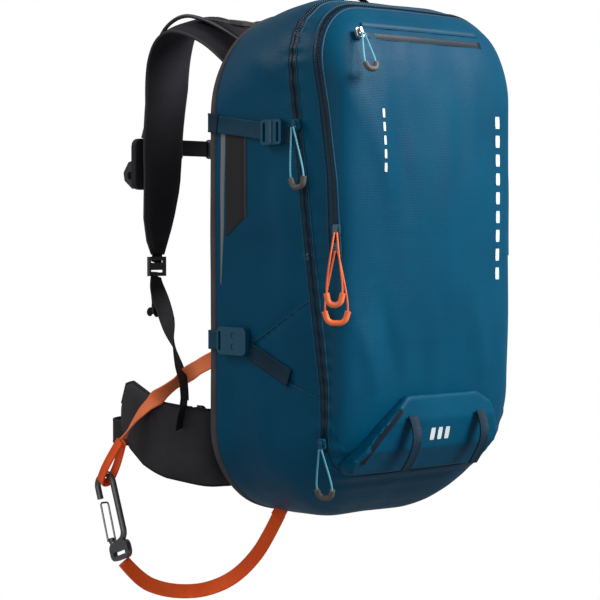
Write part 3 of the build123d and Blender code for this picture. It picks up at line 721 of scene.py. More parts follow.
black_weave = woven("black_weave", (0.018, 0.018, 0.021, 1), (0.012, 0.012, 0.014, 1))
lifter_weave = woven("lifter_weave", (0.05, 0.048, 0.053, 1), (0.036, 0.035, 0.04, 1))

loop_half = [(-56, -8.6, 257), (-56, -8.6, 268), (-46, -8.6, 281), (-28, -8.6, 286)]
haul = webbing("haul_handle", loop_half + [(-a, b, c) for a, b, c in reversed(loop_half)], [(0, 1, 0)] * 2,
               12, 3,
               black_weave)
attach(haul, "pack")
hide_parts("haul_loop")

helmet = webbing("helmet_net_loop", [(-26, -92, 298.6), (-20, -92, 306), (0, -92, 309), (20, -92, 306),
                                     (26, -92, 298.6)], [(0, 1, 0)] * 2, 10, 1.6, black_weave)
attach(helmet, "pack")
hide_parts("helmet_loop")

for side, hand in ((-1, "left"), (1, "right")):
    lifter = webbing("load_lifter_" + hand,
                     [(side * 70, 106, 294.2), (side * 70, 66, 288), (side * 70, 28, 278.2),
                                             (side * 70, 4, 272.4), (side * 70, -13,
                                                                     268.5)], [(1, 0, 0)] * 2, 20,
                     1.8, lifter_weave)
    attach(lifter, "pack")
    if side == -1:
        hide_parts("load_lifters")

# ---------------------------------------------------------------- shoulder straps
# EVA foam, 11 mm thick, pressed thinner towards bound edges. The pack has smooth dark stretch
# cloth on the side that meets the wearer and tougher grey cloth outside; here one dark cloth
# covers the whole strap. Sewn into the top of the back panel.

strap_side_line = [(-7.2, 210), (6, 233), (48, 264), (84, 280), (122, 289), (152, 276), (168, 240),
                   (173.5, 180),
                   (172.5, 120), (153.5, 4)]
strap_outer = [(4, -107), (18, -112), (50, -113), (110, -105), (200, -101), (250, -105), (330, -107)]
strap_inner = [(4, -90), (44, -70), (85, -54), (125, -46), (200, -36), (250, -36), (330, -38)]
strap_line = smooth_route([(0, y, z) for y, z in strap_side_line])
strap_cloth = plain_cloth("strap_cloth", (0.018, 0.017, 0.023, 1), (0.013, 0.012, 0.017, 1), 650, 0.7)
strap_piping_cloth = plain_cloth("strap_piping_cloth", (0.04, 0.038, 0.044, 1), (0.028, 0.027, 0.031, 1),
                                 650, 0.6)


def strap_spot(i, u, v):
    """Point of the left strap: i along its line, u from -1 outer to 1 inner edge, v its height in mm."""
    here = strap_line[i]
    along = (strap_line[min(i + 1, len(strap_line) - 1)] - strap_line[max(i - 1, 0)]).normalized()
    level = here.z
    outer = np.interp(level, [p[0] for p in strap_outer], [p[1] for p in strap_outer])
    inner = np.interp(level, [p[0] for p in strap_inner], [p[1] for p in strap_inner])
    x = (outer + inner) / 2 + (inner - outer) / 2 * u
    out = Vector((0, -along.z, along.y))
    return Vector((x, here.y, level + 0.3 * (x + 72) * smooth_step(20, 120, level))) + out * v


def strap_mesh(name, flip):
    """The padded body of one strap, thick in the middle and thin at its bound edges."""
    verts = []
    turns = np.linspace(0, 2 * math.pi, 44, endpoint=False)
    for i in range(len(strap_line)):
        for turn in turns:
            u = math.copysign(abs(math.cos(turn)) ** 0.55, math.cos(turn))
            v = math.copysign(abs(math.sin(turn)) ** 0.8, math.sin(turn))
            thick = 5.4 * (1 - 0.3 * abs(u) ** 5)
            quilt = 0.0
            if strap_line[i].z < 60 and strap_line[i].y > 100:
                quilt = 0.9 * math.exp(-((abs(u) * 26 - (60 - strap_line[i].z) * 0.62) / 3) ** 2)
            p = strap_spot(i, u * 0.985, v * (thick - quilt))
            verts.append(np.array((p.x * flip, p.y, p.z)))
    return mesh_piece(name, verts, tube_faces(len(strap_line), len(turns)), strap_cloth)


def cord_mesh(name, line, radius, material, sides=8):
    """A round cord or piping along points in mm."""
    verts = []
    a = (line[1] - line[0]).orthogonal().normalized()
    for i, here in enumerate(line):
        along = (line[min(i + 1, len(line) - 1)] - line[max(i - 1, 0)]).normalized()
        a = (a - along * a.dot(along)).normalized()
        b = along.cross(a)
        for k in range(sides):
            turn = 2 * math.pi * k / sides
            verts.append(np.array(here + (a * math.cos(turn) + b * math.sin(turn)) * radius))
    return mesh_piece(name, verts, tube_faces(len(line), sides), material)


for flip, hand in ((1, "left"), (-1, "right")):
    strap = strap_mesh("strap_padding_" + hand, flip)
    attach(strap, "pack")
    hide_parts("shoulder_strap_" + hand)
    for edge, u in (("outer", -0.99), ("inner", 0.99)):
        rim = [strap_spot(i, u, 0) for i in range(2, len(strap_line))]
        rim = [Vector((p.x * flip, p.y, p.z)) for p in rim]
        piping = cord_mesh("strap_piping_" + hand + "_" + edge, rim, 2.1, strap_piping_cloth)
        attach(piping, "pack")

# ---------------------------------------------------------------- side seams
# Two corded seams on each side of the bag fan out from the lower buckle. They are sewn with the
# same coated cloth folded over a thin cord.

for side, hand in ((-1, "left"), (1, "right")):
    for part, start, end in (("upper", (-84, -97), (-180, -44)), ("lower", (-112, -124), (-192, -152))):
        stations = np.linspace(start, end, 24)
        line = [Vector(on_bag((side * 400, y, z), (-side, 0, 0), 0.2)[0]) for y, z in stations]
        seam = cord_mesh("side_seam_" + part + "_" + hand, line, 1.0, welt_cloth)
        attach(seam, "pack")

# ---------------------------------------------------------------- strap adjusters
# Webbing that runs from the ladder lock at each strap's tip down to the top of the hip wing,
# with a folded, sewn tail hanging from the lock to pull on.

for side, hand in ((-1, "left"), (1, "right")):
    adjuster = webbing("strap_adjuster_" + hand,
                       [(side * 103, 151, -23), (side * 106, 146, -38), (side * 117, 119, -61),
                        (side * 136, 79, -96), (side * 152, 45, -131), (side * 158.5, 30, -150),
                        (side * 160, 27.5, -166)],
                       [(side * -1, 0.3, 0), (side * -0.6, -0.7, 0.2), (side * -0.1, -1, 0.1),
                        (side * 0.6, -0.75, 0), (side * 0.91, -0.42, 0), (side * 0.91, -0.42, 0)],
                       20, 1.8, black_weave)
    tail = webbing("adjuster_tail_" + hand,
                   [(side * 101, 157, -18), (side * 102, 158, -34), (side * 108, 153, -50),
                    (side * 113, 146, -62),
                    (side * 110, 148, -70), (side * 104, 153, -62), (side * 101, 156, -48)],
                   [(1, 0.4, 0), (0.8, 0.7, 0), (0.5, 0.9, 0.1), (0.5, 0.9, 0)], 17, 1.7, black_weave)
    tip_tab = webbing("strap_tip_tab_" + hand,
                      [(side * 98, 154, 14), (side * 99.5, 153, 3), (side * 102, 151.6, -7)],
                      [(1, 0.1, 0)] * 2, 17, 1.8, black_weave)
    for piece in (adjuster, tail, tip_tab):
        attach(piece, "pack")
    if side == -1:
        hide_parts("adjuster_straps")

# ---------------------------------------------------------------- chest strap
# Black webbing between two moulded sliders on the straps, joined by a small side-release buckle
# that sits towards the wearer's right.

chest_left = webbing("chest_webbing_left",
                     [(-54, 185, 138), (-30, 186.6, 138), (-8, 188, 138), (13.7, 190, 138)],
                     [(0, 0, 1)] * 2, 20, 1.8, black_weave)
chest_right = webbing("chest_webbing_right",
                      [(98, 185, 138), (82, 185, 138), (64, 184.8, 138), (48, 184.8, 138)],
                      [(0, 0, 1)] * 2, 20, 1.8, black_weave)
for piece in (chest_left, chest_right):
    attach(piece, "sternum")
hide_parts("sternum_strap")

# ---------------------------------------------------------------- hip belt
# Two shaped foam wings in tough dark cloth, sewn to the base of the back panel, with a dart
# pressed in and a fan-shaped tab where the strap adjuster is sewn on; their row of stitching is
# not drawn. Belt webbing runs from each tip to the buckle.

wing_plan = smooth_route([(-82, 7.3, 0), (-112, 10.6, 0), (-138, 14, 0), (-156, 42, 0), (-170, 66, 0),
                          (-170, 100, 0), (-170, 133, 0)])
wing_top = [(-10, -182), (24, -178), (58, -172), (90, -158), (112, -149), (124, -152), (133, -176)]
wing_bottom = [(-10, -272), (10, -269), (56, -259), (92, -246), (118, -228), (133, -206)]
wing_cloth = plain_cloth("wing_cloth", (0.036, 0.034, 0.039, 1), (0.026, 0.025, 0.029, 1), 520, 0.65)
wing_edge_cloth = plain_cloth("wing_edge_cloth", (0.016, 0.015, 0.018, 1), (0.012, 0.011, 0.013, 1), 650, 0.6)


def wing_spot(i, share, out):
    """Point of the left wing: i along its plan, share from bottom 0 to top 1, out mm from its middle."""
    here = wing_plan[i]
    along = (wing_plan[min(i + 1, len(wing_plan) - 1)] - wing_plan[max(i - 1, 0)]).normalized()
    top = np.interp(here.y, [p[0] for p in wing_top], [p[1] for p in wing_top])
    bottom = np.interp(here.y, [p[0] for p in wing_bottom], [p[1] for p in wing_bottom])
    face = Vector((-along.y, along.x, 0))
    if face.x > 0 or (abs(face.x) < 0.2 and face.y > 0):
        face = -face
    return Vector((here.x, here.y, bottom + (top - bottom) * share)) + face * out


def wing_mesh(name, flip):
    """The foam wing, fat in the middle and thin at its edges, with a dart pressed in outside."""
    verts = []
    turns = np.linspace(0, 2 * math.pi, 72, endpoint=False)
    last = len(wing_plan) - 1
    for i in range(len(wing_plan)):
        tip = min(1.0, (last - i) / 9 + 0.18)
        for turn in turns:
            share = 0.5 + 0.5 * math.copysign(abs(math.cos(turn)) ** 0.5, math.cos(turn))
            v = math.copysign(abs(math.sin(turn)) ** 0.7, math.sin(turn))
            out = v * 6.4 * (1 - 0.25 * abs(2 * share - 1) ** 5) * math.sqrt(tip)
            p = wing_spot(i, share, out)
            if out > 0:
                dart = Vector((0, 72 - (-182 - p.z) * 0.5, p.z))
                away = abs(p.y - dart.y)
                if -250 < p.z < -182:
                    p += Vector((1.5, 0.6, 0)) * math.exp(-(away / 2.2) ** 2)
                p += Vector((-1, -0.3, 0)) * 0.8 * noise.noise(p * 0.03)
            verts.append(np.array((p.x * flip, p.y, p.z)))
    return mesh_piece(name, verts, tube_faces(len(wing_plan), len(turns)), wing_cloth)


for flip, hand in ((1, "left"), (-1, "right")):
    wing = wing_mesh("hip_wing_" + hand, flip)
    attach(wing, "pack")
    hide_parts("hip_belt_" + hand)
    for edge, share in (("top", 0.995), ("bottom", 0.005)):
        rim = [wing_spot(i, share, 0) for i in range(2, len(wing_plan))]
        rim = [Vector((p.x * flip, p.y, p.z)) for p in rim]
        piping = cord_mesh("wing_binding_" + hand + "_" + edge, rim, 2.4, wing_edge_cloth)
        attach(piping, "pack")

belt_left = webbing("belt_webbing_left", [(-170, 124, -212), (-168, 150, -212), (-160, 166, -212),
                                          (-140, 180, -212), (-98, 187.4, -212), (-34.3, 188.2, -212)],
                    [(0, 0, 1)] * 2, 30, 2.0, black_weave)
belt_right = webbing("belt_webbing_right", [(170, 124, -212), (168, 148, -212), (160, 163, -212),
                                            (140, 176, -212), (98, 181.6, -212), (26, 181.9, -212)],
                     [(0, 0, 1)] * 2, 30, 2.0, black_weave)
for piece in (belt_left, belt_right):
    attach(piece, "pack")
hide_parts("hip_webbing")

for side, hand in ((-1, "left"), (1, "right")):
    tab = webbing("adjuster_tab_" + hand, [(side * 157, 31, -156), (side * 160.5, 29, -172),
                                           (side * 161.5, 31, -186), (side * 161.5, 33, -200)],
                  [(side * 0.85, -0.52, 0)] * 2, 24, 1.8, black_weave, taper=[0.8, 1.0, 1.45, 1.6])
    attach(tab, "pack")

# ---------------------------------------------------------------- leg strap
# Orange crotch strap: it comes out behind the back edge, passes behind the adjuster and over
# the hip wing, and ends in a sewn loop that carries the carabiner. A second length hangs from
# the carabiner's foot and goes back up to the base of the pack.

orange_weave = woven("orange_weave", (1.0, 0.13, 0.02, 1), (0.9, 0.09, 0.012, 1), 0.7)
pale_orange_weave = woven("pale_orange_weave", (1.0, 0.26, 0.1, 1), (0.95, 0.2, 0.07, 1), 0.75)

upper_route = [(-118, -11, -108), (-131, 14, -119), (-141, 46, -138), (-170, 52, -157), (-182, 64, -170),
               (-189, 88, -192), (-191, 106, -216)]
leg_upper = webbing("leg_strap_top", upper_route, [(0.1, -0.1, 1), (0.3, -0.4, 0.9), (0.4, -0.4, 0.8),
                                                   (0.1, -0.6, 0.8)], 19, 2.0, pale_orange_weave,
                    taper=[1, 1, 1, 0.95, 0.7])
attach(leg_upper, "pack")
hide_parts("leg_strap_upper")
[tuple(c * mm for c in p) for p in smooth_route(upper_route)]

hook_top = Vector((-191, 144, -262.5))
hook_down = Vector((0, -0.343, -0.939))
hook_out = Vector((0, 0.939, -0.343))
loop_top = Vector((-191, 111, -222.5))
loop_foot = hook_top + hook_out * 2 + hook_down * 9
loop_drop = (loop_foot - loop_top).normalized()
loop_reach = (loop_foot - loop_top).length
loop_side = [(-2.6, -5), (-8.5, loop_reach * 0.45), (-8.5, loop_reach - 6), (-5, loop_reach + 1),
             (5, loop_reach + 1), (8.5, loop_reach - 6), (8.5, loop_reach * 0.45), (2.6, -5)]
loop_route = [tuple(loop_top + loop_drop * v + Vector((a, 0, 0))) for a, v in loop_side]
loop_across = tuple(loop_drop.cross(Vector((1, 0, 0))))
leg_sling = webbing("leg_strap_sling", loop_route, [loop_across] * 2, 12, 2.2, orange_weave)
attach(leg_sling, "pack")
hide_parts("leg_loop")
[tuple(c * mm for c in p) for p in smooth_route(loop_route)]

lower_start = Vector((-191, 107, 0))
lower_run = Vector((129, -143, 0)).normalized()
lower_side = [(1, -363), (21, -386), (46, -396), (73, -399), (102, -396), (134, -382), (161, -355),
              (178, -326),
              (189, -303.2)]
lower_route = [tuple(lower_start + lower_run * s + Vector((0, 0, z))) for s, z in lower_side]
lower_flat = [(0.72, 0.3, 0.8), (0.5, 0.2, 0.85), (0.36, 0.39, 0.85), (0.3, 0.45, 0.83), (0.1, 0.6, 0.75),
              (-0.05, 0.8, 0.6), (-0.11, 0.91, 0.48), (-0.11, 0.91, 0.48)]
leg_lower = webbing("leg_strap_return", lower_route, lower_flat, 18, 2.0, orange_weave)
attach(leg_lower, "pack")
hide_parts("leg_strap_lower")
[tuple(c * mm for c in p) for p in smooth_route(lower_route)]

root_spot = Vector(lower_route[-1])
leg_root = webbing("leg_strap_root", [tuple(root_spot - Vector((3, -3, 5))), tuple(root_spot),
                                      tuple(root_spot + Vector((4, -4, 12)))],
                   lower_flat[-2:], 18, 2.2, orange_weave)
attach(leg_root, "pack")

# ---------------------------------------------------------------- hardware
# Moulded acetal buckles, locks and sliders, a forged and anodised carabiner with a sprung wire
# gate, and the release handle. Their edges are rounded as the tools that make them round them.


def hard(name, colour, roughness, metallic=0.0, specular=0.5, grain=900, depth=0.00008):
    """Moulded or machined surface with a faint grain."""
    shade = tuple(c * 0.85 for c in colour[:3]) + (1,)
    material = plain_cloth(name, colour, shade, grain, roughness, depth, specular)
    material.node_tree.nodes["Principled BSDF"].inputs["Metallic"].default_value = metallic
    return material


teal_moulding = hard("teal_moulding", (0.0, 0.07, 0.13, 1), 0.28, specular=0.6)
black_moulding = hard("black_moulding", (0.014, 0.014, 0.016, 1), 0.4)
grey_moulding = hard("grey_moulding", (0.06, 0.055, 0.052, 1), 0.42)
handle_moulding = hard("handle_moulding", (0.03, 0.028, 0.031, 1), 0.5)
anodised = hard("anodised", (0.16, 0.16, 0.165, 1), 0.38, 0.85)
steel_wire = hard("steel_wire", (0.42, 0.42, 0.43, 1), 0.3, 1.0)
cast_zip_metal = hard("cast_zip_metal", (0.4, 0.41, 0.43, 1), 0.35, 0.9)
grip_rubber = hard("grip_rubber", (0.1, 0.088, 0.078, 1), 0.55)
orange_rubber = hard("orange_rubber", (1.0, 0.2, 0.055, 1), 0.5)
drawn_aluminium = hard("drawn_aluminium", (0.72, 0.73, 0.75, 1), 0.32, 1.0)
cylinder_enamel = hard("cylinder_enamel", (0.1, 0.11, 0.13, 1), 0.3, 0.2)


def finish_node(node, material, edge):
    """Give a kept node its surface and round its edges by edge mm."""
    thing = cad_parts[node]
    thing.data.materials.clear()
    thing.data.materials.append(material)
    if edge:
        soften = thing.modifiers.new("rounded_edges", "BEVEL")
        soften.width = edge * mm
        soften.segments = 3
        soften.limit_method = "ANGLE"
        soften.angle_limit = math.radians(35)
        soften.harden_normals = False
    return thing


for node, material, edge in (
        ("strap_buckles", grey_moulding, 0.6), ("sternum_clips", grey_moulding, 0.5),
        ("sternum_socket", grey_moulding, 0.6), ("sternum_prongs", grey_moulding, 0.5),
        ("hip_buckle_socket", black_moulding, 0.8), ("hip_buckle_prongs", black_moulding, 0.7),
        ("compression_lock_left", teal_moulding, 0.7), ("compression_lock_right", teal_moulding, 0.7),
        ("lower_side_buckles", teal_moulding, 1.0), ("carabiner_body", anodised, 0.7),
        ("carabiner_gate", steel_wire, 0), ("release_handle", handle_moulding, 1.6),
        ("gas_cylinder", cylinder_enamel, 0.5), ("inflator_unit", black_moulding, 1.0),
        ("back_sheet", black_moulding, 0.3), ("frame_stays", drawn_aluminium, 0.4)):
    finish_node(node, material, edge)

# ---------------------------------------------------------------- zip pulls
# Each slider carries a thin braided cord, looped through its eye, with a moulded grip round the
# lower bend. The safety compartment's pair is orange so that it is found at once.


def braided(name, colour, shade):
    """Tight braid on a 2 mm cord."""
    return plain_cloth(name, colour, shade, 1500, 0.6, 0.0005)


blue_braid = braided("blue_braid", (0.16, 0.5, 0.64, 1), (0.1, 0.38, 0.5, 1))
orange_braid = braided("orange_braid", (1.0, 0.2, 0.06, 1), (0.9, 0.14, 0.04, 1))

def cord_curve(name, points, radius, material):
    """Round cord along the smooth line that points in mm pull."""
    curve = bpy.data.curves.new(name, "CURVE")
    curve.dimensions = "3D"
    curve.resolution_u = 10
    curve.bevel_depth = radius * mm
    curve.bevel_resolution = 3
    spline = curve.splines.new("NURBS")
    spline.points.add(len(points) - 1)
    for knot, p in zip(spline.points, points):
        knot.co = (p[0] * mm, p[1] * mm, p[2] * mm, 1)
    spline.order_u = 3
    spline.use_endpoint_u = True
    curve.materials.append(material)
    cord = bpy.data.objects.new(name, curve)
    bpy.context.collection.objects.link(cord)
    return cord


# seat, outward, up, pull length, half width of the grip, how far it stands out
pulls = {
    "main_upper": ((-156.196, -166.106, 150), (-0.998, -0.067, 0), (-0.009, 0.134, 0.991), 72, 10, 0),
    "main_lower": ((-145.87, -193.237, -200.544), (-0.82, -0.461, -0.34), (-0.297, -0.167, 0.94), 64, 9, 0),
    "safety_left": ((-140.318, -211.372, 14), (-0.794, -0.607, 0), (0, 0, 1), 84, 13, 0),
    "safety_right": ((-140.777, -210.772, 34), (-0.794, -0.607, 0), (0, 0, 1), 84, 9, 8.5),
    "top_pocket": ((-108.326, -208.917, 248.674), (-0.204, -0.884, 0.421), (0.095, 0.41, 0.907), 50, 7, 0),
}
for pull, (seat, outward, up, length, half, over) in pulls.items():
    out = Vector(outward)
    rise = Vector(up)
    aside = out.cross(rise)
    one_side = [(-3.0, 1.4, 0), (-length * 0.26, half * 0.42, over * 0.8), (-length * 0.54, half * 0.8, over),
                (-length * 0.8, half * 1.04, over), (-length * 0.97, half * 0.7, over)]
    local = one_side + [(a, -b, c) for a, b, c in reversed(one_side)]
    knots = [Vector(seat) + rise * a + aside * b + out * (11.6 + c) for a, b, c in local]
    bright = pull.startswith("safety")
    pull_cord = cord_curve(pull + "_pull_cord", knots, 1.0, orange_braid if bright else blue_braid)
    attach(pull_cord, pull + "_pull")
    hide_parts(pull + "_cord")
    grip = finish_node(pull + "_grip", orange_rubber if bright else grip_rubber, 0)
    finish_node(pull + "_slider", cast_zip_metal if pull == "top_pocket" else teal_moulding, 0.5)

# ---------------------------------------------------------------- compression straps
# Teal webbing across each side: the upper one wraps over the edge binding and runs through a
# ladder lock to a sewn end beside the zip, the lower one leaves its buckle towards the front.

teal_weave = woven("teal_weave", (0.0, 0.05, 0.095, 1), (0.0, 0.038, 0.075, 1), 0.55)
dark_teal_weave = woven("dark_teal_weave", (0.0, 0.026, 0.052, 1), (0.0, 0.018, 0.04, 1), 0.55)
for side, hand in ((-1, "left"), (1, "right")):
    x = side * 159.6
    across = webbing("compression_upper_" + hand, [(x, -20, 157), (x, -52, 152.7), (x, -82, 148.7),
                                                   (x, -109,
                                                    145)], [(0, -0.13, 0.99)] * 2, 20, 1.8, teal_weave)
    wrap = webbing("compression_wrap_" + hand, [(side * 142, -12.6, 158), (side * 154, -12.8, 158),
                                                (side * 160.2, -15, 158), (side * 160.8, -24, 157),
                                                (side * 160.9, -33, 155.8)], [(0, 0, 1)] * 2, 22, 1.4,
                   dark_teal_weave)
    sewn = webbing("compression_end_" + hand, [(side * 159.4, -138, 142), (side * 158.4, -146, 141),
                                               (side * 158, -157, 139)], [(0, 0, 1)] * 2, 20, 1.8,
                   dark_teal_weave)
    low = webbing("compression_lower_" + hand, [(side * 158.4, -84, -102), (side * 158.4, -108, -112.6),
                                                (side * 158.4, -130, -121.8), (side * 158.2, -152, -131)],
                  [(0, -0.388, 0.922)] * 2, 20, 1.8, dark_teal_weave)
    hook = webbing("lower_buckle_wrap_" + hand, [(side * 142, -12.6, -93), (side * 154, -12.8, -93),
                                                 (side * 160.2, -15, -93), (side * 160.8, -26, -93),
                                                 (side * 160.9, -37,
                                                  -93)], [(0, 0, 1)] * 2, 22, 1.6, teal_weave)
    for piece in (across, wrap, sewn, low, hook):
        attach(piece, "pack")
    if side == -1:
        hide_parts("compression_straps")

# ---------------------------------------------------------------- back and lumbar pads
# Foam pads 15 mm thick under spacer cloth, glued to the back sheet and stitched round. The long
# pad has a hollow down its middle for air, and both are pressed into blocks so they can bend.


def settled(piece):
    """Make the modifiers on a piece part of its mesh."""
    done = bpy.data.meshes.new_from_object(piece.evaluated_get(bpy.context.evaluated_depsgraph_get()))
    piece.modifiers.clear()
    piece.data = done


def soft_copy(node, name, grain, material, relief=None, puff=0.0):
    """Evenly meshed, softened copy of a node; relief gives mm outward, puff inflates it as cloth."""
    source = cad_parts[node]
    data = source.data.copy()
    data.transform(source.matrix_world)
    data.materials.clear()
    piece = bpy.data.objects.new(name, data)
    bpy.context.collection.objects.link(piece)
    remake = piece.modifiers.new("remake", "REMESH")
    remake.mode = "VOXEL"
    remake.voxel_size = grain * mm
    ease = piece.modifiers.new("ease", "SMOOTH")
    ease.factor = 0.5
    ease.iterations = 3
    settled(piece)
    # pressure alone would carry the cloth much further, so puff is a firm stop in mm
    if puff:
        start = np.array([v.co for v in piece.data.vertices])
        blow = piece.modifiers.new("blow", "CLOTH")
        blow.settings.use_pressure = True
        blow.settings.uniform_pressure_force = 4
        blow.settings.tension_stiffness = 30
        blow.settings.effector_weights.gravity = 0
        for step in range(1, 21):
            bpy.context.scene.frame_set(step)
        settled(piece)
        bpy.context.scene.frame_set(1)
        after = np.array([v.co for v in piece.data.vertices])
        move = after - start
        far = np.linalg.norm(move, axis=1, keepdims=True) + 1e-12
        after = start + move * np.minimum(1, puff * mm / far)
        for v, co in zip(piece.data.vertices, after):
            v.co = co
    fine = piece.modifiers.new("fine", "SUBSURF")
    fine.levels = 1
    fine.render_levels = 1
    settled(piece)
    if relief:
        normals = [v.normal.copy() for v in piece.data.vertices]
        for v, normal in zip(piece.data.vertices, normals):
            v.co += normal * relief(v.co * 1000, normal) * mm
    for polygon in piece.data.polygons:
        polygon.use_smooth = True
    piece.data.materials.append(material)
    return piece


def groove(away, width, depth):
    """Depth in mm of a pressed line at a distance from its middle."""
    return -depth * math.exp(-(away / width) ** 2)


def back_relief(p, normal):
    if normal.y < 0.3:
        return 0.0
    lift = groove(p.x, 13, 5.5)
    for level in (-30, 25, 80, 135):
        lift += groove(p.z - level + abs(p.x) * 0.16, 3.2, 1.9) * smooth_step(14, 30, abs(p.x))
    return lift + 0.25 * noise.noise(p * 0.05)


def lumbar_relief(p, normal):
    if normal.y < 0.3:
        return 0.0
    return groove(p.x, 11, 4) + groove(p.z + 182 + abs(p.x) * 0.2, 3.2, 1.6) + 0.25 * noise.noise(p * 0.05)


panel_cloth = plain_cloth("panel_cloth", (0.02, 0.02, 0.023, 1), (0.013, 0.013, 0.015, 1), 500, 0.8, 0.0005)
rear_skin.data.materials.append(panel_cloth)
for polygon in rear_skin.data.polygons:
    if polygon.center.y > -0.0165:
        polygon.material_index = 1

spacer_cloth = plain_cloth("spacer_cloth", (0.026, 0.025, 0.029, 1), (0.012, 0.012, 0.014, 1),
                           260, 0.85, 0.0012)
for node, name, relief in (("back_pad", "back_padding", back_relief), ("lumbar_pad", "lumbar_padding",
                                                                       lumbar_relief)):
    pad = soft_copy(node, name, 4.5, spacer_cloth, relief, 1.5)
    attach(pad, "pack")
    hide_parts(node)

# ---------------------------------------------------------------- front pocket
# A shaped tool pocket in the same coated cloth, standing proud of the lower front, edge-stitched,
# with a zip down its left edge and two webbing ice-axe loops. Three plain bars stand in for the
# maker's badge.


def pocket_relief(p, normal):
    return 0.5 * noise.noise(p * 0.028) + 0.25 * noise.noise(p * 0.07)


pocket = soft_copy("front_pocket", "tool_pocket", 2.5, bag_cloth, pocket_relief)
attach(pocket, "main_flap")
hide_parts("front_pocket")
pocket_tree = BVHTree.FromPolygons([v.co * 1000 for v in pocket.data.vertices],
                                   [tuple(f.vertices) for f in pocket.data.polygons])
front_verts = []
front_faces = []
for shown in (front_skin, lower_front):
    offset = len(front_verts)
    front_verts += [v.co * 1000 for v in shown.data.vertices]
    front_faces += [tuple(offset + i for i in f.vertices) for f in shown.data.polygons]
front_tree = BVHTree.FromPolygons(front_verts, front_faces)


def on_front(x, z, lift, tree=front_tree):
    """Point lift mm off the front cloth at a place seen square from the front."""
    hit, normal, _, _ = tree.ray_cast(Vector((x, -400, z)), Vector((0, 1, 0)))
    if hit is None:
        return Vector((x, -220, z))
    if normal.y > 0:
        normal = -normal
    return hit + normal * lift


def front_bar(name, x_low, x_high, z_low, z_high, material, tree=front_tree, slope=0.0):
    """Thin printed or taped patch on the front, with rounded corners."""
    verts = []
    faces = []
    tall = max(2, int((z_high - z_low) / 3))
    wide = max(2, int((x_high - x_low) / 3))
    for j in range(tall + 1):
        t = j / tall
        z = z_low + (z_high - z_low) * t
        pinch = 0.86 if j in (0, tall) else 1.0
        for i in range(wide + 1):
            s = (i / wide - 0.5) * pinch
            x = (x_low + x_high) / 2 + (x_high - x_low) * s + slope * (z - z_low)
            verts.append(np.array(on_front(x, z, 0.5, tree)))
    for j in range(tall):
        for i in range(wide):
            a = j * (wide + 1) + i
            faces.append((a, a + 1, a + wide + 2, a + wide + 1))
    return mesh_piece(name, verts, faces, material)


reflective_print = plain_cloth("reflective_print", (0.72, 0.76, 0.78, 1), (0.6, 0.65, 0.68, 1), 900, 0.45)
for i in range(3):
    badge = front_bar("pocket_bar_%d" % (i + 1), -14 + i * 12, -7 + i * 12, -204, -190, reflective_print,
                      pocket_tree)
    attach(badge, "main_flap")
for x in (-50, 62):
    loop = webbing("axe_loop_" + ("left" if x < 0 else "right"),
                   [(x, -238.6, -174), (x, -247.5, -190), (x, -243, -216),
                    (x, -227, -236)], [(1, 0, 0)] * 2, 14,
                   2.2, dark_teal_weave)
    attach(loop, "main_flap")
    if x < 0:
        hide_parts("axe_loops")
pocket_edge = [on_front(x, z, 0.7, pocket_tree) for x,
               z in ((-112, -224), (-104, -208), (-92, -193), (-78, -180),
                                                             (-64, -167))]
pocket_zip = webbing("pocket_zip", [tuple(p) for p in pocket_edge], [(0.75, 0.05, -0.65)] * 2, 7, 1.2,
                     zip_coil_nylon)
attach(pocket_zip, "main_flap")

# ---------------------------------------------------------------- front markings
# The small pocket across the top of the front has a short coil zip under a welt. A row of plain
# reflective bars runs down the right of the front and a row of thin dashes down its left.

for i in range(9):
    mark = front_bar("reflective_bar_%d" % (i + 1), 100, 109, 152 - i * 22, 166 - i * 22, reflective_print)
    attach(mark, "front_flap")
for i in range(5):
    mark = front_bar("thin_dash_%d" % (i + 1), -88, -84, 158 - i * 15, 168 - i * 15, reflective_print)
    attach(mark, "front_flap")
top_zip_line = [tuple(on_front(x, 248.7, 0.0)) for x in (-98, -70, -30, 10, 50, 90)]
top_zip = webbing("top_pocket_zip", top_zip_line, [(0, -0.42, -0.9)] * 2, 8, 0.8, zip_coil_nylon)
top_welt_line = [tuple(on_front(p[0], 260.5, 0.3)) for p in top_zip_line]
top_flap = webbing("top_pocket_welt", top_welt_line, [(0, -0.42, -0.9)] * 2,
                   6, 2.2, welt_cloth)
for piece in (top_zip, top_flap):
    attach(piece, "front_flap")

# ---------------------------------------------------------------- release line
# The handle parks in a stiff fabric sleeve sewn to the left strap. Its steel cable runs in a
# plastic jacket up the strap, over the shoulder and down into the pack to the inflator.

sleeve_cloth = plain_cloth("sleeve_cloth", (0.02, 0.02, 0.024, 1), (0.014, 0.014, 0.017, 1), 600, 0.65)
sleeve = soft_copy("handle_sleeve", "handle_pocket", 1.4, sleeve_cloth)
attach(sleeve, "pack")
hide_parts("handle_sleeve")

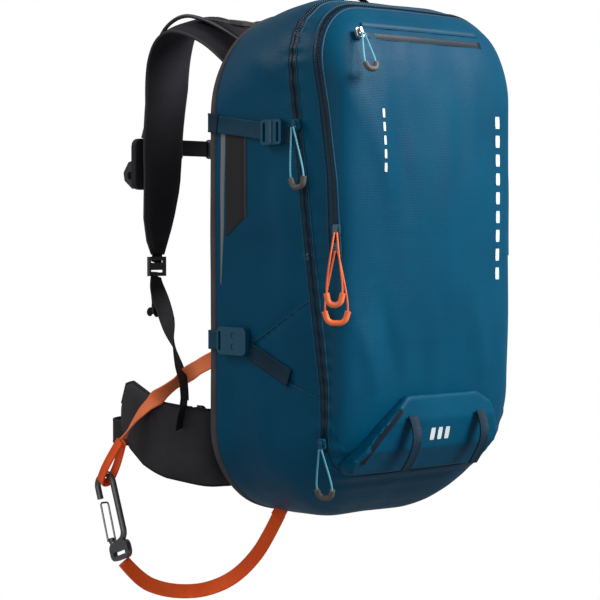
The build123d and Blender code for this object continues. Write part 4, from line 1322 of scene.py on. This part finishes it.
cable_jacket = hard("cable_jacket", (0.02, 0.02, 0.022, 1), 0.45)
cable_route = [(-84, -64, 112), (-84, -50, 130), (-84, -43, 165), (-84, -41, 200), (-84, -32, 230),
               (-84, -8, 248),
               (-84, 18, 262), (-84, 46, 276), (-84, 84, 291), (-84, 124, 299), (-84, 163, 282), (-84, 181,
                                                                                                  240),
               (-84, 184.5, 200), (-88, 185.5, 172), (-96, 185, 149)]
cable = cord_curve("release_cable_line", cable_route, 2.5, cable_jacket)
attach(cable, "pack")
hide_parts("release_cable")

# ---------------------------------------------------------------- inside the bag
# A cloth wall divides the main space from the front compartment. The airbag lies folded in an
# arch over the top, in thin bright cloth, with the inflator and its cylinder below.

lining_cloth = plain_cloth("lining_cloth", (0.09, 0.095, 0.1, 1), (0.07, 0.072, 0.078, 1), 700, 0.6)
airbag_cloth = plain_cloth("airbag_cloth", (0.9, 0.24, 0.03, 1), (0.78, 0.18, 0.02, 1), 800, 0.5)


def airbag_relief(p, normal):
    return 1.3 * math.sin(p.y * 0.42 + 1.2 * noise.noise(p * 0.02)) + 0.7 * noise.noise(p * 0.05)


def divider_sag(p):
    """Slack in the divider, which fades out at the seams round its edge."""
    slack = smooth_step(150, 110, abs(p.x)) * smooth_step(280, 230, abs(p.z))
    place = Vector((p.x, 0, p.z))
    return slack * (1.2 * noise.noise(place * 0.02) + 0.5 * noise.noise(place * 0.06))


airbag = soft_copy("airbag_folded", "folded_airbag", 4.0, airbag_cloth, airbag_relief)
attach(airbag, "pack")
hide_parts("airbag_folded")

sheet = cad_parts["divider"]
wall = sheet.data.copy()
wall.transform(sheet.matrix_world)
wall.materials.clear()
wall.materials.append(lining_cloth)
work = bmesh.new()
work.from_mesh(wall)
bmesh.ops.triangulate(work, faces=work.faces)
for _ in range(5):
    long_edges = [e for e in work.edges if e.calc_length() > 14 * mm]
    bmesh.ops.subdivide_edges(work, edges=long_edges, cuts=1)
    bmesh.ops.triangulate(work, faces=work.faces)
for v in work.verts:
    v.co.y += divider_sag(v.co * 1000) * mm
work.to_mesh(wall)
work.free()
divider_wall = bpy.data.objects.new("divider_wall", wall)
bpy.context.collection.objects.link(divider_wall)
for polygon in wall.polygons:
    polygon.use_smooth = True
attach(divider_wall, "main_flap")
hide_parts("divider")
